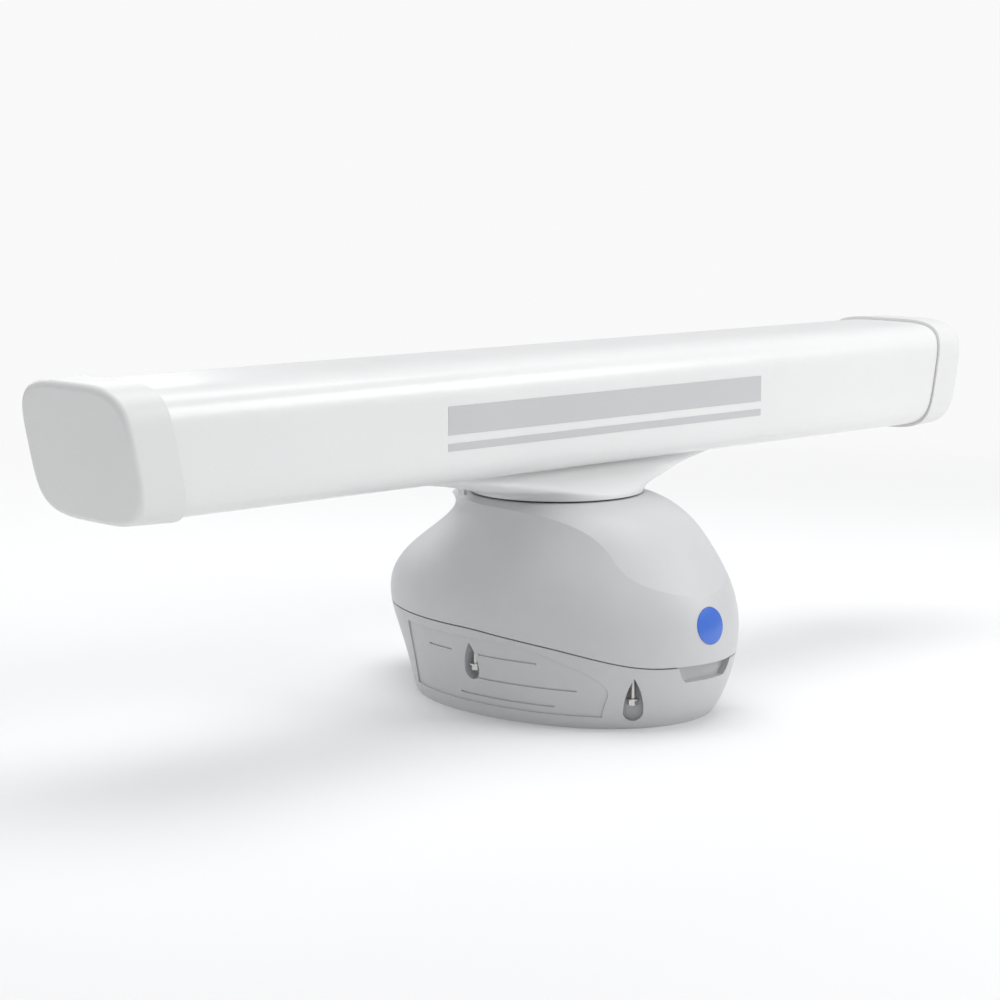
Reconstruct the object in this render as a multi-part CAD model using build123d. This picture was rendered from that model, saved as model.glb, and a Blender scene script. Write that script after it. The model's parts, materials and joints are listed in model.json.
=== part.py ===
from build123d import *
from math import atan2, ceil, copysign, cos, hypot, pi, radians, sin, sqrt, tan
import os

# Open-array marine radar: a bar antenna turning on a two-part pedestal.
# Millimetres. Z is up, the origin is on the antenna's turning axis at the foot of the pedestal,
# the pedestal's nose points along -Y and the parked bar lies along X.

# ---- pedestal casing -------------------------------------------------------------------------
# height, half width, front reach and rear reach of the casing's outer surface
SIDE_SECTIONS = [
    (0, 143, 203, 177),
    (32, 146.5, 224, 193),
    (66, 151.5, 235.5, 208.5),
    (99, 156, 238, 223),
    (160, 144, 219, 197),
    (236, 108, 182, 150),
]
# the hood is a second, flatter surface that cuts the top off the sides and leaves a crease
HOOD_SECTIONS = [
    (60, 176, 282, 262),
    (120, 161, 247, 234),
    (160, 147, 213.5, 204),
    (200, 128, 180, 171),
    (234, 97, 99, 106),
]
SIDE_POWER = 2.06
HOOD_POWER = 2.22
COVER_TOP = 234
WALL = 5
ROOF = 6
FLOOR = 8

# the parting line between the housings: level at the back, dropping in an S to the nose
PARTING_HIGH = 99
PARTING_LOW = 70.5
PARTING_CURVE = [(-10, 99), (-49, 96.9), (-98, 92.3), (-139, 86.6), (-175, 78.7), (-198, 73.4), (-225, 70.5)]
PARTING_GAP = 1.4
FLANGE_WIDTH = 24
FLANGE_THICK = 6

SEAL_INSET = 17
SEAL_WIDTH = 4
SEAL_DEPTH = 3
SEAL_STANDING = 0.9
SEAL_PLAY = 0.1
EYELET = 6

# side panel with three ribs' worth of grooves
PANEL_DEPTH = 1.6
PANEL_REAR = 100
PANEL_FRONT = -176
PANEL_LOW = 14
PANEL_HIGH = 88
GROOVES = [(-106, -29, 70), (14, 56, 70), (-146, -13, 43), (-120, 5, 23)]
GROOVE_HEIGHT = 2
GROOVE_DEPTH = 3

# grip slot under the nose
SLOT_HALF_TOP = 42
SLOT_HALF_LOW = 33
SLOT_LOW = 53
SLOT_DEEP = 16

# pockets for the six captive bolts: place around the casing, lowest and highest point
POCKETS = [(-76, -1, 10, 60), (76, -1, 10, 60), (-151, -0.07, 40, 82), (151, -0.07, 40, 82),
           (-84, 1, 34, 78), (84, 1, 34, 78)]
POCKET_RADIUS = 11
POCKET_DEPTH = 19
POCKET_WALL = 4
BOLT_INSET = 10
BOLT_RADIUS = 3
BOLT_HEAD_RADIUS = 6.2
BOLT_HEAD_HIGH = 6
BOLT_PLAY = 0.3
BOLT_TRAVEL = 8
BOLT_NOSE = 3
BOLT_BOSS = 9

# nose badge: a plain round disc
BADGE_RADIUS = 20
BADGE_CENTRE = 112
BADGE_SUNK = 1
BADGE_PROUD = 0.6

# hull mounting
MOUNT_X = 140
MOUNT_Y = 200
MOUNT_HOLE = 5
INSERT_RADIUS = 8
INSERT_HIGH = 26
INSERT_DEEP = 22
MOUNT_BOSS = 13
MOUNT_BOSS_HIGH = 32

# service hinge at the back
HINGE_Y = 232
HINGE_Z = 98.5
KNUCKLE_RADIUS = 7
HINGE_PIN = 3
HINGE_PLAY = 0.05
KNUCKLE_INNER = 19
KNUCKLE_OUTER = 44
KNUCKLE_GAP = 0.6

# prop stay, and the cover's peg that it holds when the cover stands fully open
STAY_X = 92
STAY_Y = 110
STAY_Z = 34
STAY_WIDE = 12
STAY_THICK = 4
STAY_NOTCH = 5
PEG_Y = 0
PEG_Z = 104
PEG_RADIUS = 2
PEG_ARM = 4
COVER_OPENING = radians(45)

# ---- spindle ---------------------------------------------------------------------------------
BEARING_BORE = 17.5
BEARING_OUTER = 31
BEARING_HIGH = 14
UPPER_BEARING = 198
LOWER_BEARING = 164
BALLS = 11
BALL_RADIUS = 4.2
BALL_CIRCLE = 24.25
GROOVE_PLAY = 0.03
INNER_SHOULDER = 22
OUTER_SHOULDER = 26.5
CAGE_INNER = 23.1
CAGE_OUTER = 25.4
CAGE_HIGH = 10
SHAFT_BORE = 12
COLLAR = 25
SEAL_BORE = 35
SHAFT_FLANGE = 48
TURNTABLE_FOOT = 236
SHAFT_TOP = 244

CARRIER_BARREL = 40
CARRIER_FLANGE = 65
CARRIER_SCREWS = 6
CARRIER_SCREW_CIRCLE = 55

# ---- drive -----------------------------------------------------------------------------------
MODULE = 1.5
GEAR_TEETH = 96
PINION_TEETH = 16
PRESSURE_ANGLE = radians(20)
BACKLASH = 0.12
GEAR_LOW = 140
GEAR_HIGH = 152
CENTRES = MODULE * (GEAR_TEETH + PINION_TEETH) / 2
MOTOR_RADIUS = 28
MOTOR_LOW = 162
MOTOR_TOP = 206
MOTOR_SHAFT = 4
PLATE_LOW = 154

# ---- antenna ---------------------------------------------------------------------------------
BAR_CENTRE = 333.7
BAR_HALF_DEPTH = 90.8
BAR_HALF_HIGH = 65.5
BAR_POWER = 4.6
RADOME_WALL = 3.5
RAKE = 0.2
SEAM = 588.4
BAR_END = 639.3
CAP_SEAM = (93.6, 69.2, 4.5)
CAP_FACE = (91.8, 68.8, 3.8)
CAP_ROUND = 7
CAP_SEAL = 0.8
SPIGOT = 26

# height, half length along the bar, half width and roundness of the turntable fairing
FAIRING = [
    (236, 98.5, 98.5, 2.0),
    (240, 101, 98, 2.05),
    (247, 127, 91, 2.2),
    (255, 170, 79, 2.4),
    (262, 214, 66, 2.6),
    (267.6, 250, 57.5, 2.8),
    (272, 274, 52, 2.9),
]
FAIRING_WALL = 6
SADDLE_PLAY = 0.1
# the rear pair's heads show below the fairing; the front pair is sunk in its foot
ANTENNA_BOLTS = [(-115, 35), (115, 35), (-80, -30), (80, -30)]
ANTENNA_BOLT = 4
ANTENNA_HEAD = 5.4
ANTENNA_HEAD_LOW = 237.5
ANTENNA_HEAD_HIGH = 7
SPINE_LOW = 272.4
SPINE_HIGH = 287
SPINE_HALF = 40
SPINE_LONG = 545
GUIDE_WIDE = 25.4
GUIDE_TALL = 12.7
GUIDE_WALL = 1.3
GUIDE_LONG = 545

STRIPES = [(326, 356), (309, 317)]
STRIPE_HALF = 248
STRIPE_THICK = 0.35

# ---- electronics -----------------------------------------------------------------------------
CASE_HALF = 75
CASE_FRONT = -165
CASE_REAR = 35
CASE_LOW = 76
CASE_TOP = 118
CASE_WALL = 3
CASE_BOARD_LOW = 90
CASE_BOARD = (-60, 60, -150, 20)
CASE_LUGS = [(-88, 24), (88, 24), (-62, -150), (62, -150)]
BOARD_LOW = 20
BOARD_THICK = 1.6
POWER_BOARD = (-58, 58, -78, 40)
DRIVER_BOARD = (-54, 54, 56, 146)
SOCKET_FACE = 186
SOCKET_Z = 38
SOCKETS = [("power_socket", -32, 13), ("network_socket", 32, 10)]
NUT_WALL = 2
NUT_THICK = 4
NUT_SLOT = 3

SPAN = 400
CURVE_POINTS = 16


# ---- small builders --------------------------------------------------------------------------
def superellipse(power, points=CURVE_POINTS):
    """Unit outline of |u|^power + |v|^power = 1, as evenly turned points."""
    outline = []
    for step in range(points):
        turn = 2 * pi * step / points
        reach = (abs(cos(turn)) ** power + abs(sin(turn)) ** power) ** (-1 / power)
        outline.append((cos(turn) * reach, sin(turn) * reach))
    return outline


def level_ring(height, half_width, front, rear, power):
    """Closed level outline whose front (-Y) and rear (+Y) reaches differ."""
    points = []
    for u, v in superellipse(power):
        reach = front if v < 0 else rear
        points.append((u * half_width, v * reach, height))
    return Wire([Spline(*points, periodic=True)])


def skin(sections, power, inset=0.0):
    """Solid lofted through level outlines, each drawn in by inset."""
    rings = []
    for height, half_width, front, rear in sections:
        rings.append(level_ring(height, half_width - inset, front - inset, rear - inset, power))
    return Solid.make_loft(rings)


def block(x, y, z):
    """Box from low to high along each axis."""
    size = (x[1] - x[0], y[1] - y[0], z[1] - z[0])
    centre = ((x[0] + x[1]) / 2, (y[0] + y[1]) / 2, (z[0] + z[1]) / 2)
    return Location(centre) * Box(*size)


def rod(radius, low, high, x=0.0, y=0.0):
    """Upright cylinder."""
    return Location((x, y, (low + high) / 2)) * Cylinder(radius, high - low)


def tube(outer, inner, low, high, x=0.0, y=0.0):
    """Upright ring."""
    return rod(outer, low, high, x, y) - rod(inner, low, high, x, y)


def hexagon(across_flats, low, high, x=0.0, y=0.0):
    """Upright hexagonal bar."""
    outline = Location((x, y, low)) * RegularPolygon(across_flats / 2, 6, major_radius=False)
    return extrude(outline, high - low)


def cap_screw(x, y, seat, length, shank, head, head_high, upward=True):
    """Socket cap screw; upward puts the shank above its seat and the head below."""
    way = 1 if upward else -1
    shaft_ends = sorted((seat, seat + way * length))
    head_ends = sorted((seat, seat - way * head_high))
    socket_mouth = seat - way * head_high
    socket_ends = sorted((socket_mouth, socket_mouth + way * head_high / 2))
    body = rod(shank, *shaft_ends, x, y) + rod(head, *head_ends, x, y)
    return body - hexagon(head, *socket_ends, x, y)


def around(count, circle, start=0.0):
    """Places evenly spread on a circle."""
    turns = [start + 2 * pi * step / count for step in range(count)]
    return [(circle * cos(turn), circle * sin(turn)) for turn in turns]


def side_reach(height):
    """Half width, front and rear reach of the casing at a height, between its sections."""
    for low, high in zip(SIDE_SECTIONS, SIDE_SECTIONS[1:]):
        if low[0] <= height <= high[0]:
            share = (height - low[0]) / (high[0] - low[0])
            return [a + (b - a) * share for a, b in zip(low[1:], high[1:])]
    raise ValueError(height)


def below_parting(shift):
    """Everything under the parting line moved up by shift."""
    curve = Spline(*[(-SPAN, y, z + shift) for y, z in PARTING_CURVE],
                   tangents=[(0, -1, 0), (0, -1, 0)])
    rear = (-SPAN, SPAN, PARTING_HIGH + shift)
    front = (-SPAN, -SPAN, PARTING_LOW + shift)
    outline = [
        Line(rear, curve @ 0),
        curve,
        Line(curve @ 1, front),
        Line(front, (-SPAN, -SPAN, -SPAN)),
        Line((-SPAN, -SPAN, -SPAN), (-SPAN, SPAN, -SPAN)),
        Line((-SPAN, SPAN, -SPAN), rear),
    ]
    return extrude(Face(Wire(outline)), amount=2 * SPAN, dir=(1, 0, 0))


def parting_height(y):
    """Height of the parting line at y, straight between its points."""
    if y >= PARTING_CURVE[0][0]:
        return PARTING_HIGH
    for (y_a, z_a), (y_b, z_b) in zip(PARTING_CURVE, PARTING_CURVE[1:]):
        if y_b <= y <= y_a:
            return z_a + (z_b - z_a) * (y - y_a) / (y_b - y_a)
    return PARTING_LOW


# ---- casing ----------------------------------------------------------------------------------
class Casing:
    """The solids that both housings are cut from."""

    def __init__(self):
        self.outer = skin(SIDE_SECTIONS, SIDE_POWER)
        self.inner = skin(SIDE_SECTIONS, SIDE_POWER, WALL)
        self.neck = skin(SIDE_SECTIONS, SIDE_POWER, FLANGE_WIDTH)
        self.hood = skin(HOOD_SECTIONS, HOOD_POWER)
        self.hood_inner = skin(HOOD_SECTIONS, HOOD_POWER, WALL)

    def seal_band(self, play):
        wide = skin(SIDE_SECTIONS, SIDE_POWER, SEAL_INSET - play)
        return wide - skin(SIDE_SECTIONS, SIDE_POWER, SEAL_INSET + SEAL_WIDTH + play)


def pocket_frames():
    """Surface point, outward direction and heights of each bolt pocket."""
    frames = []
    for x, side, low, high in POCKETS:
        half_width, front, rear = side_reach((low + high) / 2)
        u = min(abs(x) / half_width, 1.0)
        v = (1 - u ** SIDE_POWER) ** (1 / SIDE_POWER)
        reach = front if side < 0 else rear
        if abs(side) < 1:
            v = abs(side)
            u = (1 - v ** SIDE_POWER) ** (1 / SIDE_POWER)
        point = (copysign(u * half_width, x), copysign(v * reach, side))
        slope_x = copysign(u ** (SIDE_POWER - 1) / half_width, x)
        slope_y = copysign(v ** (SIDE_POWER - 1) / reach, side)
        size = hypot(slope_x, slope_y)
        frames.append((point, (slope_x / size, slope_y / size), low, high))
    return frames


def teardrop(point, outward, low, high, radius, inward):
    """Prism with a round foot and a pointed top, sunk inward through the wall."""
    outside = 14
    centre = low + radius
    origin = (point[0] + outward[0] * outside, point[1] + outward[1] * outside, centre)
    face_plane = Plane(origin=origin, x_dir=(-outward[1], outward[0], 0), z_dir=(outward[0], outward[1], 0))
    rise = high - centre
    sweep = (rise ** 2 + radius ** 2) / (2 * radius)
    half_way = (sweep - radius - sqrt(sweep ** 2 - (rise / 2) ** 2))
    outline = [
        ThreePointArc((-radius, 0), (0, -radius), (radius, 0)),
        ThreePointArc((radius, 0), (-half_way, rise / 2), (0, rise)),
        ThreePointArc((0, rise), (half_way, rise / 2), (-radius, 0)),
    ]
    shape = face_plane * make_face(Wire(outline))
    return extrude(shape, amount=-(inward + outside))


def bolt_places():
    """X, Y of each captive bolt, set in from the casing's surface."""
    return [
        ((p[0] - BOLT_INSET * n[0], p[1] - BOLT_INSET * n[1]), low, high)
        for p, n, low, high in pocket_frames()
    ]


def side_panel():
    """Prism right through the casing with the outline of its side panels."""
    middle = (PANEL_LOW + PANEL_HIGH) / 2
    outline = [
        Line((0, PANEL_REAR, PANEL_LOW), (0, PANEL_REAR, PANEL_HIGH)),
        Line((0, PANEL_REAR, PANEL_HIGH), (0, -40, PANEL_HIGH)),
        Spline((0, -40, PANEL_HIGH), (0, -120, PANEL_HIGH - 9), (0, PANEL_FRONT, middle - 8),
               (0, -165, PANEL_LOW), tangents=[(0, -1, 0), (0, 0.25, -1)]),
        Line((0, -165, PANEL_LOW), (0, PANEL_REAR, PANEL_LOW)),
    ]
    return extrude(Face(Wire(outline)), amount=SPAN / 2, dir=(1, 0, 0), both=True)


def lower_outside(casing):
    """Outside of the lower housing, with its shallow side panels and their grooves."""
    panel = side_panel()
    body = (casing.outer & below_parting(-PARTING_GAP / 2)) - panel
    body = body + (skin(SIDE_SECTIONS[:5], SIDE_POWER, PANEL_DEPTH) & panel)
    deep = skin(SIDE_SECTIONS[:5], SIDE_POWER, GROOVE_DEPTH)
    half = GROOVE_HEIGHT / 2
    bands = [block((-SPAN / 2, SPAN / 2), (front, rear), (z - half, z + half)) for front, rear, z in GROOVES]
    return body - [band - deep for band in bands]


def grip_slot():
    """Slot under the nose, with rounded lower corners."""
    corner = 6
    outline = [
        (-SLOT_HALF_TOP, PARTING_LOW + 2),
        (-SLOT_HALF_LOW - corner / 2, SLOT_LOW + corner),
        (-SLOT_HALF_LOW + corner / 2, SLOT_LOW),
        (SLOT_HALF_LOW - corner / 2, SLOT_LOW),
        (SLOT_HALF_LOW + corner / 2, SLOT_LOW + corner),
        (SLOT_HALF_TOP, PARTING_LOW + 2),
    ]
    wall = Plane(origin=(0, -SPAN, 0), x_dir=(1, 0, 0), z_dir=(0, -1, 0))
    shape = wall * make_face(Polyline(*outline, close=True))
    nose = SIDE_SECTIONS[2][2]
    return extrude(shape, amount=-(SPAN - nose + SLOT_DEEP))


def hinge_knuckle(x_low, x_high, arm_low, arm_high):
    """One hinge knuckle with the arm that carries it."""
    middle = (x_low + x_high) / 2
    barrel = Location((middle, HINGE_Y, HINGE_Z)) * Rotation(0, 90, 0) * Cylinder(KNUCKLE_RADIUS, x_high - x_low)
    return barrel + block((x_low, x_high), (HINGE_Y - 17, HINGE_Y), (arm_low, arm_high))


def hinge_bore(radius):
    """Bore of the hinge pin, longer than the hinge."""
    return Location((0, HINGE_Y, HINGE_Z)) * Rotation(0, 90, 0) * Cylinder(radius, 2 * KNUCKLE_OUTER + 10)


def lower_cavity(casing):
    """Hollow of the lower housing, with its bosses left standing."""
    lift = block((-SPAN, SPAN), (-SPAN, SPAN), (FLOOR, SPAN))
    mouth = block((-SPAN, SPAN), (-SPAN, SPAN), (PARTING_LOW - 15, SPAN))
    hollow = (casing.inner & below_parting(-PARTING_GAP / 2 - FLANGE_THICK) & lift) + (casing.neck & mouth)
    bosses = [
        teardrop(point, outward, low - POCKET_WALL, high + POCKET_WALL,
                 POCKET_RADIUS + POCKET_WALL, POCKET_DEPTH + POCKET_WALL)
        for point, outward, low, high in pocket_frames()
    ]
    nose = SIDE_SECTIONS[2][2]
    bosses.append(block((-SLOT_HALF_TOP - 5, SLOT_HALF_TOP + 5),
                        (-SPAN, -nose + SLOT_DEEP + POCKET_WALL), (SLOT_LOW - 5, SPAN)))
    for x, y in mount_places():
        bosses.append(rod(MOUNT_BOSS, FLOOR, MOUNT_BOSS_HIGH, x, y))
    bosses.append(block((-64, 64), (SOCKET_FACE - 8, SPAN / 2), (FLOOR, SOCKET_Z + 30)))
    bosses.append(stay_bracket())
    bosses += [rod(BOLT_BOSS, high, SPAN, x, y) for (x, y), _, high in bolt_places()]
    return hollow - bosses


def mount_places():
    return [(x, y) for x in (-MOUNT_X / 2, MOUNT_X / 2) for y in (-MOUNT_Y / 2, MOUNT_Y / 2)]


def lower_housing(casing):
    body = lower_outside(casing) - lower_cavity(casing)
    knuckles = []
    for side in (-1, 1):
        ends = sorted((side * (KNUCKLE_INNER + KNUCKLE_GAP), side * KNUCKLE_OUTER))
        knuckles.append(hinge_knuckle(*ends, HINGE_Z - 10, HINGE_Z - 2))
    body = body + knuckles
    cuts = [hinge_bore(HINGE_PIN), grip_slot()]
    for point, outward, low, high in pocket_frames():
        cuts.append(teardrop(point, outward, low, high, POCKET_RADIUS, POCKET_DEPTH))
    for (x, y), low, high in bolt_places():
        cuts.append(rod(BOLT_RADIUS + BOLT_PLAY, high - 24, PARTING_HIGH + 5, x, y))
    cuts.append(block((-58, 58), (SOCKET_FACE, SPAN / 2), (SOCKET_Z - 22, SOCKET_Z + 23)))
    cuts += [socket_hole(x, radius) for _, x, radius in SOCKETS]
    cuts += [socket_hole(0, 5, SOCKET_Z + 12), socket_hole(0, 4, SOCKET_Z - 12)]
    cuts += [rod(INSERT_RADIUS, -1, INSERT_HIGH, x, y) for x, y in mount_places()]
    cuts += [rod(2, FLOOR - 5, FLOOR + 1, x, y) for x, y in all_board_corners()]
    groove = casing.seal_band(SEAL_PLAY) + eyelets(EYELET + SEAL_PLAY)
    cuts.append(groove - below_parting(-PARTING_GAP / 2 - SEAL_DEPTH))
    return body - cuts


def eyelets(radius):
    return [rod(radius, PARTING_LOW - 10, PARTING_HIGH + 10, x, y) for (x, y), _, _ in bolt_places()]


def housing_gasket(casing):
    """Gasket in the lower housing's flange, with an eyelet round each captive bolt."""
    band = (casing.seal_band(0) + eyelets(EYELET)) - eyelets(BOLT_RADIUS + BOLT_PLAY)
    foot = below_parting(-PARTING_GAP / 2 - SEAL_DEPTH)
    head = below_parting(-PARTING_GAP / 2 + SEAL_STANDING)
    return (band & head) - foot


def captive_bolts():
    bolts = []
    for (x, y), low, high in bolt_places():
        seat = high - 18
        tip = parting_height(y) + PARTING_GAP / 2 + BOLT_NOSE
        across = 2 * BOLT_HEAD_RADIUS * cos(pi / 6)
        head = hexagon(across, seat - BOLT_HEAD_HIGH - BOLT_TRAVEL, seat - BOLT_TRAVEL, x, y)
        collar = rod(BOLT_HEAD_RADIUS + 1, seat - BOLT_TRAVEL, seat - BOLT_TRAVEL + 1.2, x, y)
        bolts.append(head + collar + rod(BOLT_RADIUS, seat - BOLT_TRAVEL, tip, x, y))
    return bolts


def upper_cavity(casing):
    """Hollow of the cover, with its bosses and roof pad left standing."""
    ceiling = block((-SPAN, SPAN), (-SPAN, SPAN), (0, COVER_TOP - ROOF))
    mouth = block((-SPAN, SPAN), (-SPAN, SPAN), (0, PARTING_HIGH + 15))
    hollow = (casing.inner & casing.hood_inner & ceiling) - below_parting(PARTING_GAP / 2 + FLANGE_THICK)
    bosses = [rod(70, COVER_TOP - 12, COVER_TOP)]
    bosses += [rod(7, CASE_TOP, COVER_TOP, x, y) for x, y in CASE_LUGS]
    for (x, y), _, _ in bolt_places():
        bosses.append(rod(9, 0, parting_height(y) + 22, x, y))
    return (hollow + (casing.neck & mouth)) - bosses


def upper_housing(casing):
    outer = (casing.outer & casing.hood) - below_parting(PARTING_GAP / 2)
    body = outer - upper_cavity(casing)
    body = body + [hinge_knuckle(-KNUCKLE_INNER, KNUCKLE_INNER, HINGE_Z + 1.4, HINGE_Z + 8), stay_peg()]
    cuts = [rod(SEAL_BORE, COVER_TOP - 20, COVER_TOP + 1), hinge_bore(HINGE_PIN + HINGE_PLAY)]
    for x, y in around(CARRIER_SCREWS, CARRIER_SCREW_CIRCLE, pi / 6):
        cuts.append(rod(2.5, COVER_TOP - 13, COVER_TOP - 3, x, y))
    cuts += [rod(2, CASE_TOP - 1, CASE_TOP + 12, x, y) for x, y in CASE_LUGS]
    for (x, y), _, _ in bolt_places():
        base = parting_height(y) + PARTING_GAP / 2
        cuts.append(rod(BOLT_RADIUS + 1.4, base - 3, base + BOLT_NOSE + 3, x, y))
        cuts.append(rod(BOLT_RADIUS + HINGE_PLAY, base, base + BOLT_NOSE + 13, x, y))
    cuts.append(badge_prism(0.1) - skin(SIDE_SECTIONS, SIDE_POWER, BADGE_SUNK))
    return body - cuts


def badge_prism(play):
    wall = Plane(origin=(0, -SPAN / 2, BADGE_CENTRE), x_dir=(1, 0, 0), z_dir=(0, -1, 0))
    return extrude(wall * Circle(BADGE_RADIUS + play), amount=SPAN / 4, both=True)


def nose_badge():
    proud = skin(SIDE_SECTIONS, SIDE_POWER, -BADGE_PROUD)
    return (badge_prism(0) & proud) - skin(SIDE_SECTIONS, SIDE_POWER, BADGE_SUNK)


def hinge_pin():
    middle = Location((0, HINGE_Y, HINGE_Z)) * Rotation(0, 90, 0)
    return middle * Cylinder(HINGE_PIN, 2 * KNUCKLE_OUTER + 3)


def stay_bracket():
    """Lug on the floor that carries the prop stay's pivot."""
    gap = STAY_THICK / 2 + 0.3
    ears = block((STAY_X + gap, STAY_X + gap + 4), (STAY_Y - 8, STAY_Y + 8), (FLOOR - 1, STAY_Z + 8))
    return ears - stay_bore(2.5)


def stay_bore(radius):
    pivot = Location((STAY_X + 4, STAY_Y, STAY_Z)) * Rotation(0, 90, 0)
    return pivot * Cylinder(radius, 24)


def stay_pin():
    pivot = Location((STAY_X + 1, STAY_Y, STAY_Z)) * Rotation(0, 90, 0)
    head = Location((STAY_X - STAY_THICK / 2 - 1.3, STAY_Y, STAY_Z)) * Rotation(0, 90, 0)
    return pivot * Cylinder(2.5, 12) + head * Cylinder(4, 2)


def stay_peg():
    """Peg inside the cover's right flange that the stay's notch takes."""
    pin_end = STAY_X - STAY_THICK / 2 - 3
    arm_end = STAY_X + STAY_THICK / 2 + 5
    root = SIDE_SECTIONS[3][1] - FLANGE_WIDTH + 8
    along = Rotation(0, 90, 0)
    pin = Location(((pin_end + arm_end + 1) / 2, PEG_Y, PEG_Z)) * along * Cylinder(PEG_RADIUS, arm_end + 1 - pin_end)
    arm = Location(((arm_end + root) / 2, PEG_Y, PEG_Z)) * along * Cylinder(PEG_ARM, root - arm_end)
    return pin + arm


def stay_reach():
    """Length from the stay's pivot to the peg when the cover stands fully open."""
    back = PEG_Y - HINGE_Y
    up = PEG_Z - HINGE_Z
    open_y = HINGE_Y + back * cos(COVER_OPENING) + up * sin(COVER_OPENING)
    open_z = HINGE_Z - back * sin(COVER_OPENING) + up * cos(COVER_OPENING)
    return hypot(open_y - STAY_Y, open_z - STAY_Z)


def prop_stay():
    """Flat bar with a round eye at the pivot and an open notch at its far end."""
    reach = stay_reach()
    low = STAY_X - STAY_THICK / 2
    plane = Plane(origin=(low, STAY_Y, STAY_Z), x_dir=(0, -1, 0), z_dir=(1, 0, 0))
    outline = SlotCenterToCenter(reach, STAY_WIDE)
    shape = Location((reach / 2, 0)) * outline
    shape = shape - Circle(2.5 + HINGE_PLAY)
    notch_foot = -PEG_RADIUS - 0.3
    shape = shape - Location((reach, notch_foot + STAY_WIDE / 2)) * Rectangle(STAY_NOTCH, STAY_WIDE)
    return extrude(plane * shape, amount=STAY_THICK)


# ---- electronics in the lower housing --------------------------------------------------------
def board_corners(board, margin=5):
    x_low, x_high, y_low, y_high = board
    return [(x, y) for x in (x_low + margin, x_high - margin) for y in (y_low + margin, y_high - margin)]


def circuit_board(board):
    x_low, x_high, y_low, y_high = board
    plate = block((x_low, x_high), (y_low, y_high), (BOARD_LOW, BOARD_LOW + BOARD_THICK))
    for x, y in board_corners(board):
        plate = plate - rod(2, BOARD_LOW - 1, BOARD_LOW + BOARD_THICK + 1, x, y)
    return plate


def all_board_corners():
    return board_corners(POWER_BOARD) + board_corners(DRIVER_BOARD)


def board_standoffs():
    return [hexagon(7, FLOOR, BOARD_LOW, x, y) - rod(2, FLOOR, BOARD_LOW, x, y) for x, y in all_board_corners()]


def board_screws():
    top = BOARD_LOW + BOARD_THICK
    return [cap_screw(x, y, top, top - FLOOR + 4, 2, 3.5, 2.5, upward=False) for x, y in all_board_corners()]


def socket_hole(x, radius, height=SOCKET_Z):
    way = Location((x, SOCKET_FACE, height)) * Rotation(90, 0, 0)
    return way * Cylinder(radius, 40)


def cable_socket(x, radius):
    """Bulkhead socket: body through the wall, square flange outside, open mouth to the rear."""
    along = Rotation(90, 0, 0)
    body = Location((x, SOCKET_FACE, SOCKET_Z)) * along * Cylinder(radius, 36)
    flange = Location((x, SOCKET_FACE + 1.5, SOCKET_Z)) * along * Cylinder(radius + 4, 3)
    mouth = Location((x, SOCKET_FACE + 12, SOCKET_Z)) * along * Cylinder(radius - 2.5, 16)
    return body + flange - mouth


def socket_contacts():
    """Pins standing in the mouths of both sockets."""
    pins = []
    for _, x, radius in SOCKETS:
        for u, v in around(4, radius / 2.6, pi / 4):
            pin = Location((x + u, SOCKET_FACE + 9, SOCKET_Z + v)) * Rotation(90, 0, 0)
            pins.append(pin * Cylinder(1.2, 10))
    return pins


def socket_nuts():
    """Round slotted nuts that hold the sockets from inside the wall."""
    nuts = []
    for _, x, radius in SOCKETS:
        nut = tube(radius + NUT_WALL, radius, 0, NUT_THICK)
        for turn in (0, 90, 180, 270):
            slot = block((radius + NUT_WALL / 2, radius + 2 * NUT_WALL), (-NUT_SLOT / 2, NUT_SLOT / 2), (0, NUT_THICK))
            nut = nut - Rotation(0, 0, turn) * slot
        nuts.append(Location((x, SOCKET_FACE - 8, SOCKET_Z)) * Rotation(90, 0, 0) * nut)
    return nuts


def ground_stud():
    along = Rotation(90, 0, 0)
    shank = Location((0, SOCKET_FACE + 1, SOCKET_Z - 12)) * along * Cylinder(4, 26)
    plane = Plane(origin=(0, SOCKET_FACE, SOCKET_Z - 12), x_dir=(1, 0, 0), z_dir=(0, 1, 0))
    return shank + extrude(plane * RegularPolygon(6.5, 6, major_radius=False), amount=5)


def breather_vent():
    along = Rotation(90, 0, 0)
    stem = Location((0, SOCKET_FACE - 1, SOCKET_Z + 12)) * along * Cylinder(5, 16)
    button = Location((0, SOCKET_FACE + 2, SOCKET_Z + 12)) * along * Cylinder(8.5, 4)
    return stem + button


# ---- spindle ---------------------------------------------------------------------------------
def shaft_seal():
    lip = COLLAR + HINGE_PLAY
    return tube(SEAL_BORE, lip, COVER_TOP - 9, COVER_TOP - 2)


def bearing_carrier():
    body = rod(CARRIER_BARREL, PLATE_LOW + 8, COVER_TOP - 20)
    body = body + rod(CARRIER_FLANGE, COVER_TOP - 20, COVER_TOP - 12)
    for step in range(CARRIER_SCREWS):
        rib = block((CARRIER_BARREL - 2, CARRIER_FLANGE - 6), (-2.5, 2.5), (COVER_TOP - 34, COVER_TOP - 20))
        if step % 3:
            body = body + Rotation(0, 0, 60 * step - 60) * rib
    body = body - rod(28, 0, COVER_TOP)
    body = body - rod(BEARING_OUTER, 0, LOWER_BEARING + BEARING_HIGH)
    body = body - rod(BEARING_OUTER, UPPER_BEARING, COVER_TOP)
    for x, y in around(CARRIER_SCREWS, CARRIER_SCREW_CIRCLE, pi / 6):
        body = body - rod(2.8, 0, COVER_TOP, x, y)
    for x, y in around(4, 36, pi / 4):
        body = body - rod(2, 0, PLATE_LOW + 18, x, y)
    return body


def carrier_screws():
    seat = COVER_TOP - 20
    return [cap_screw(x, y, seat, 16, 2.5, 4.25, 5) for x, y in around(CARRIER_SCREWS, CARRIER_SCREW_CIRCLE, pi / 6)]


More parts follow.
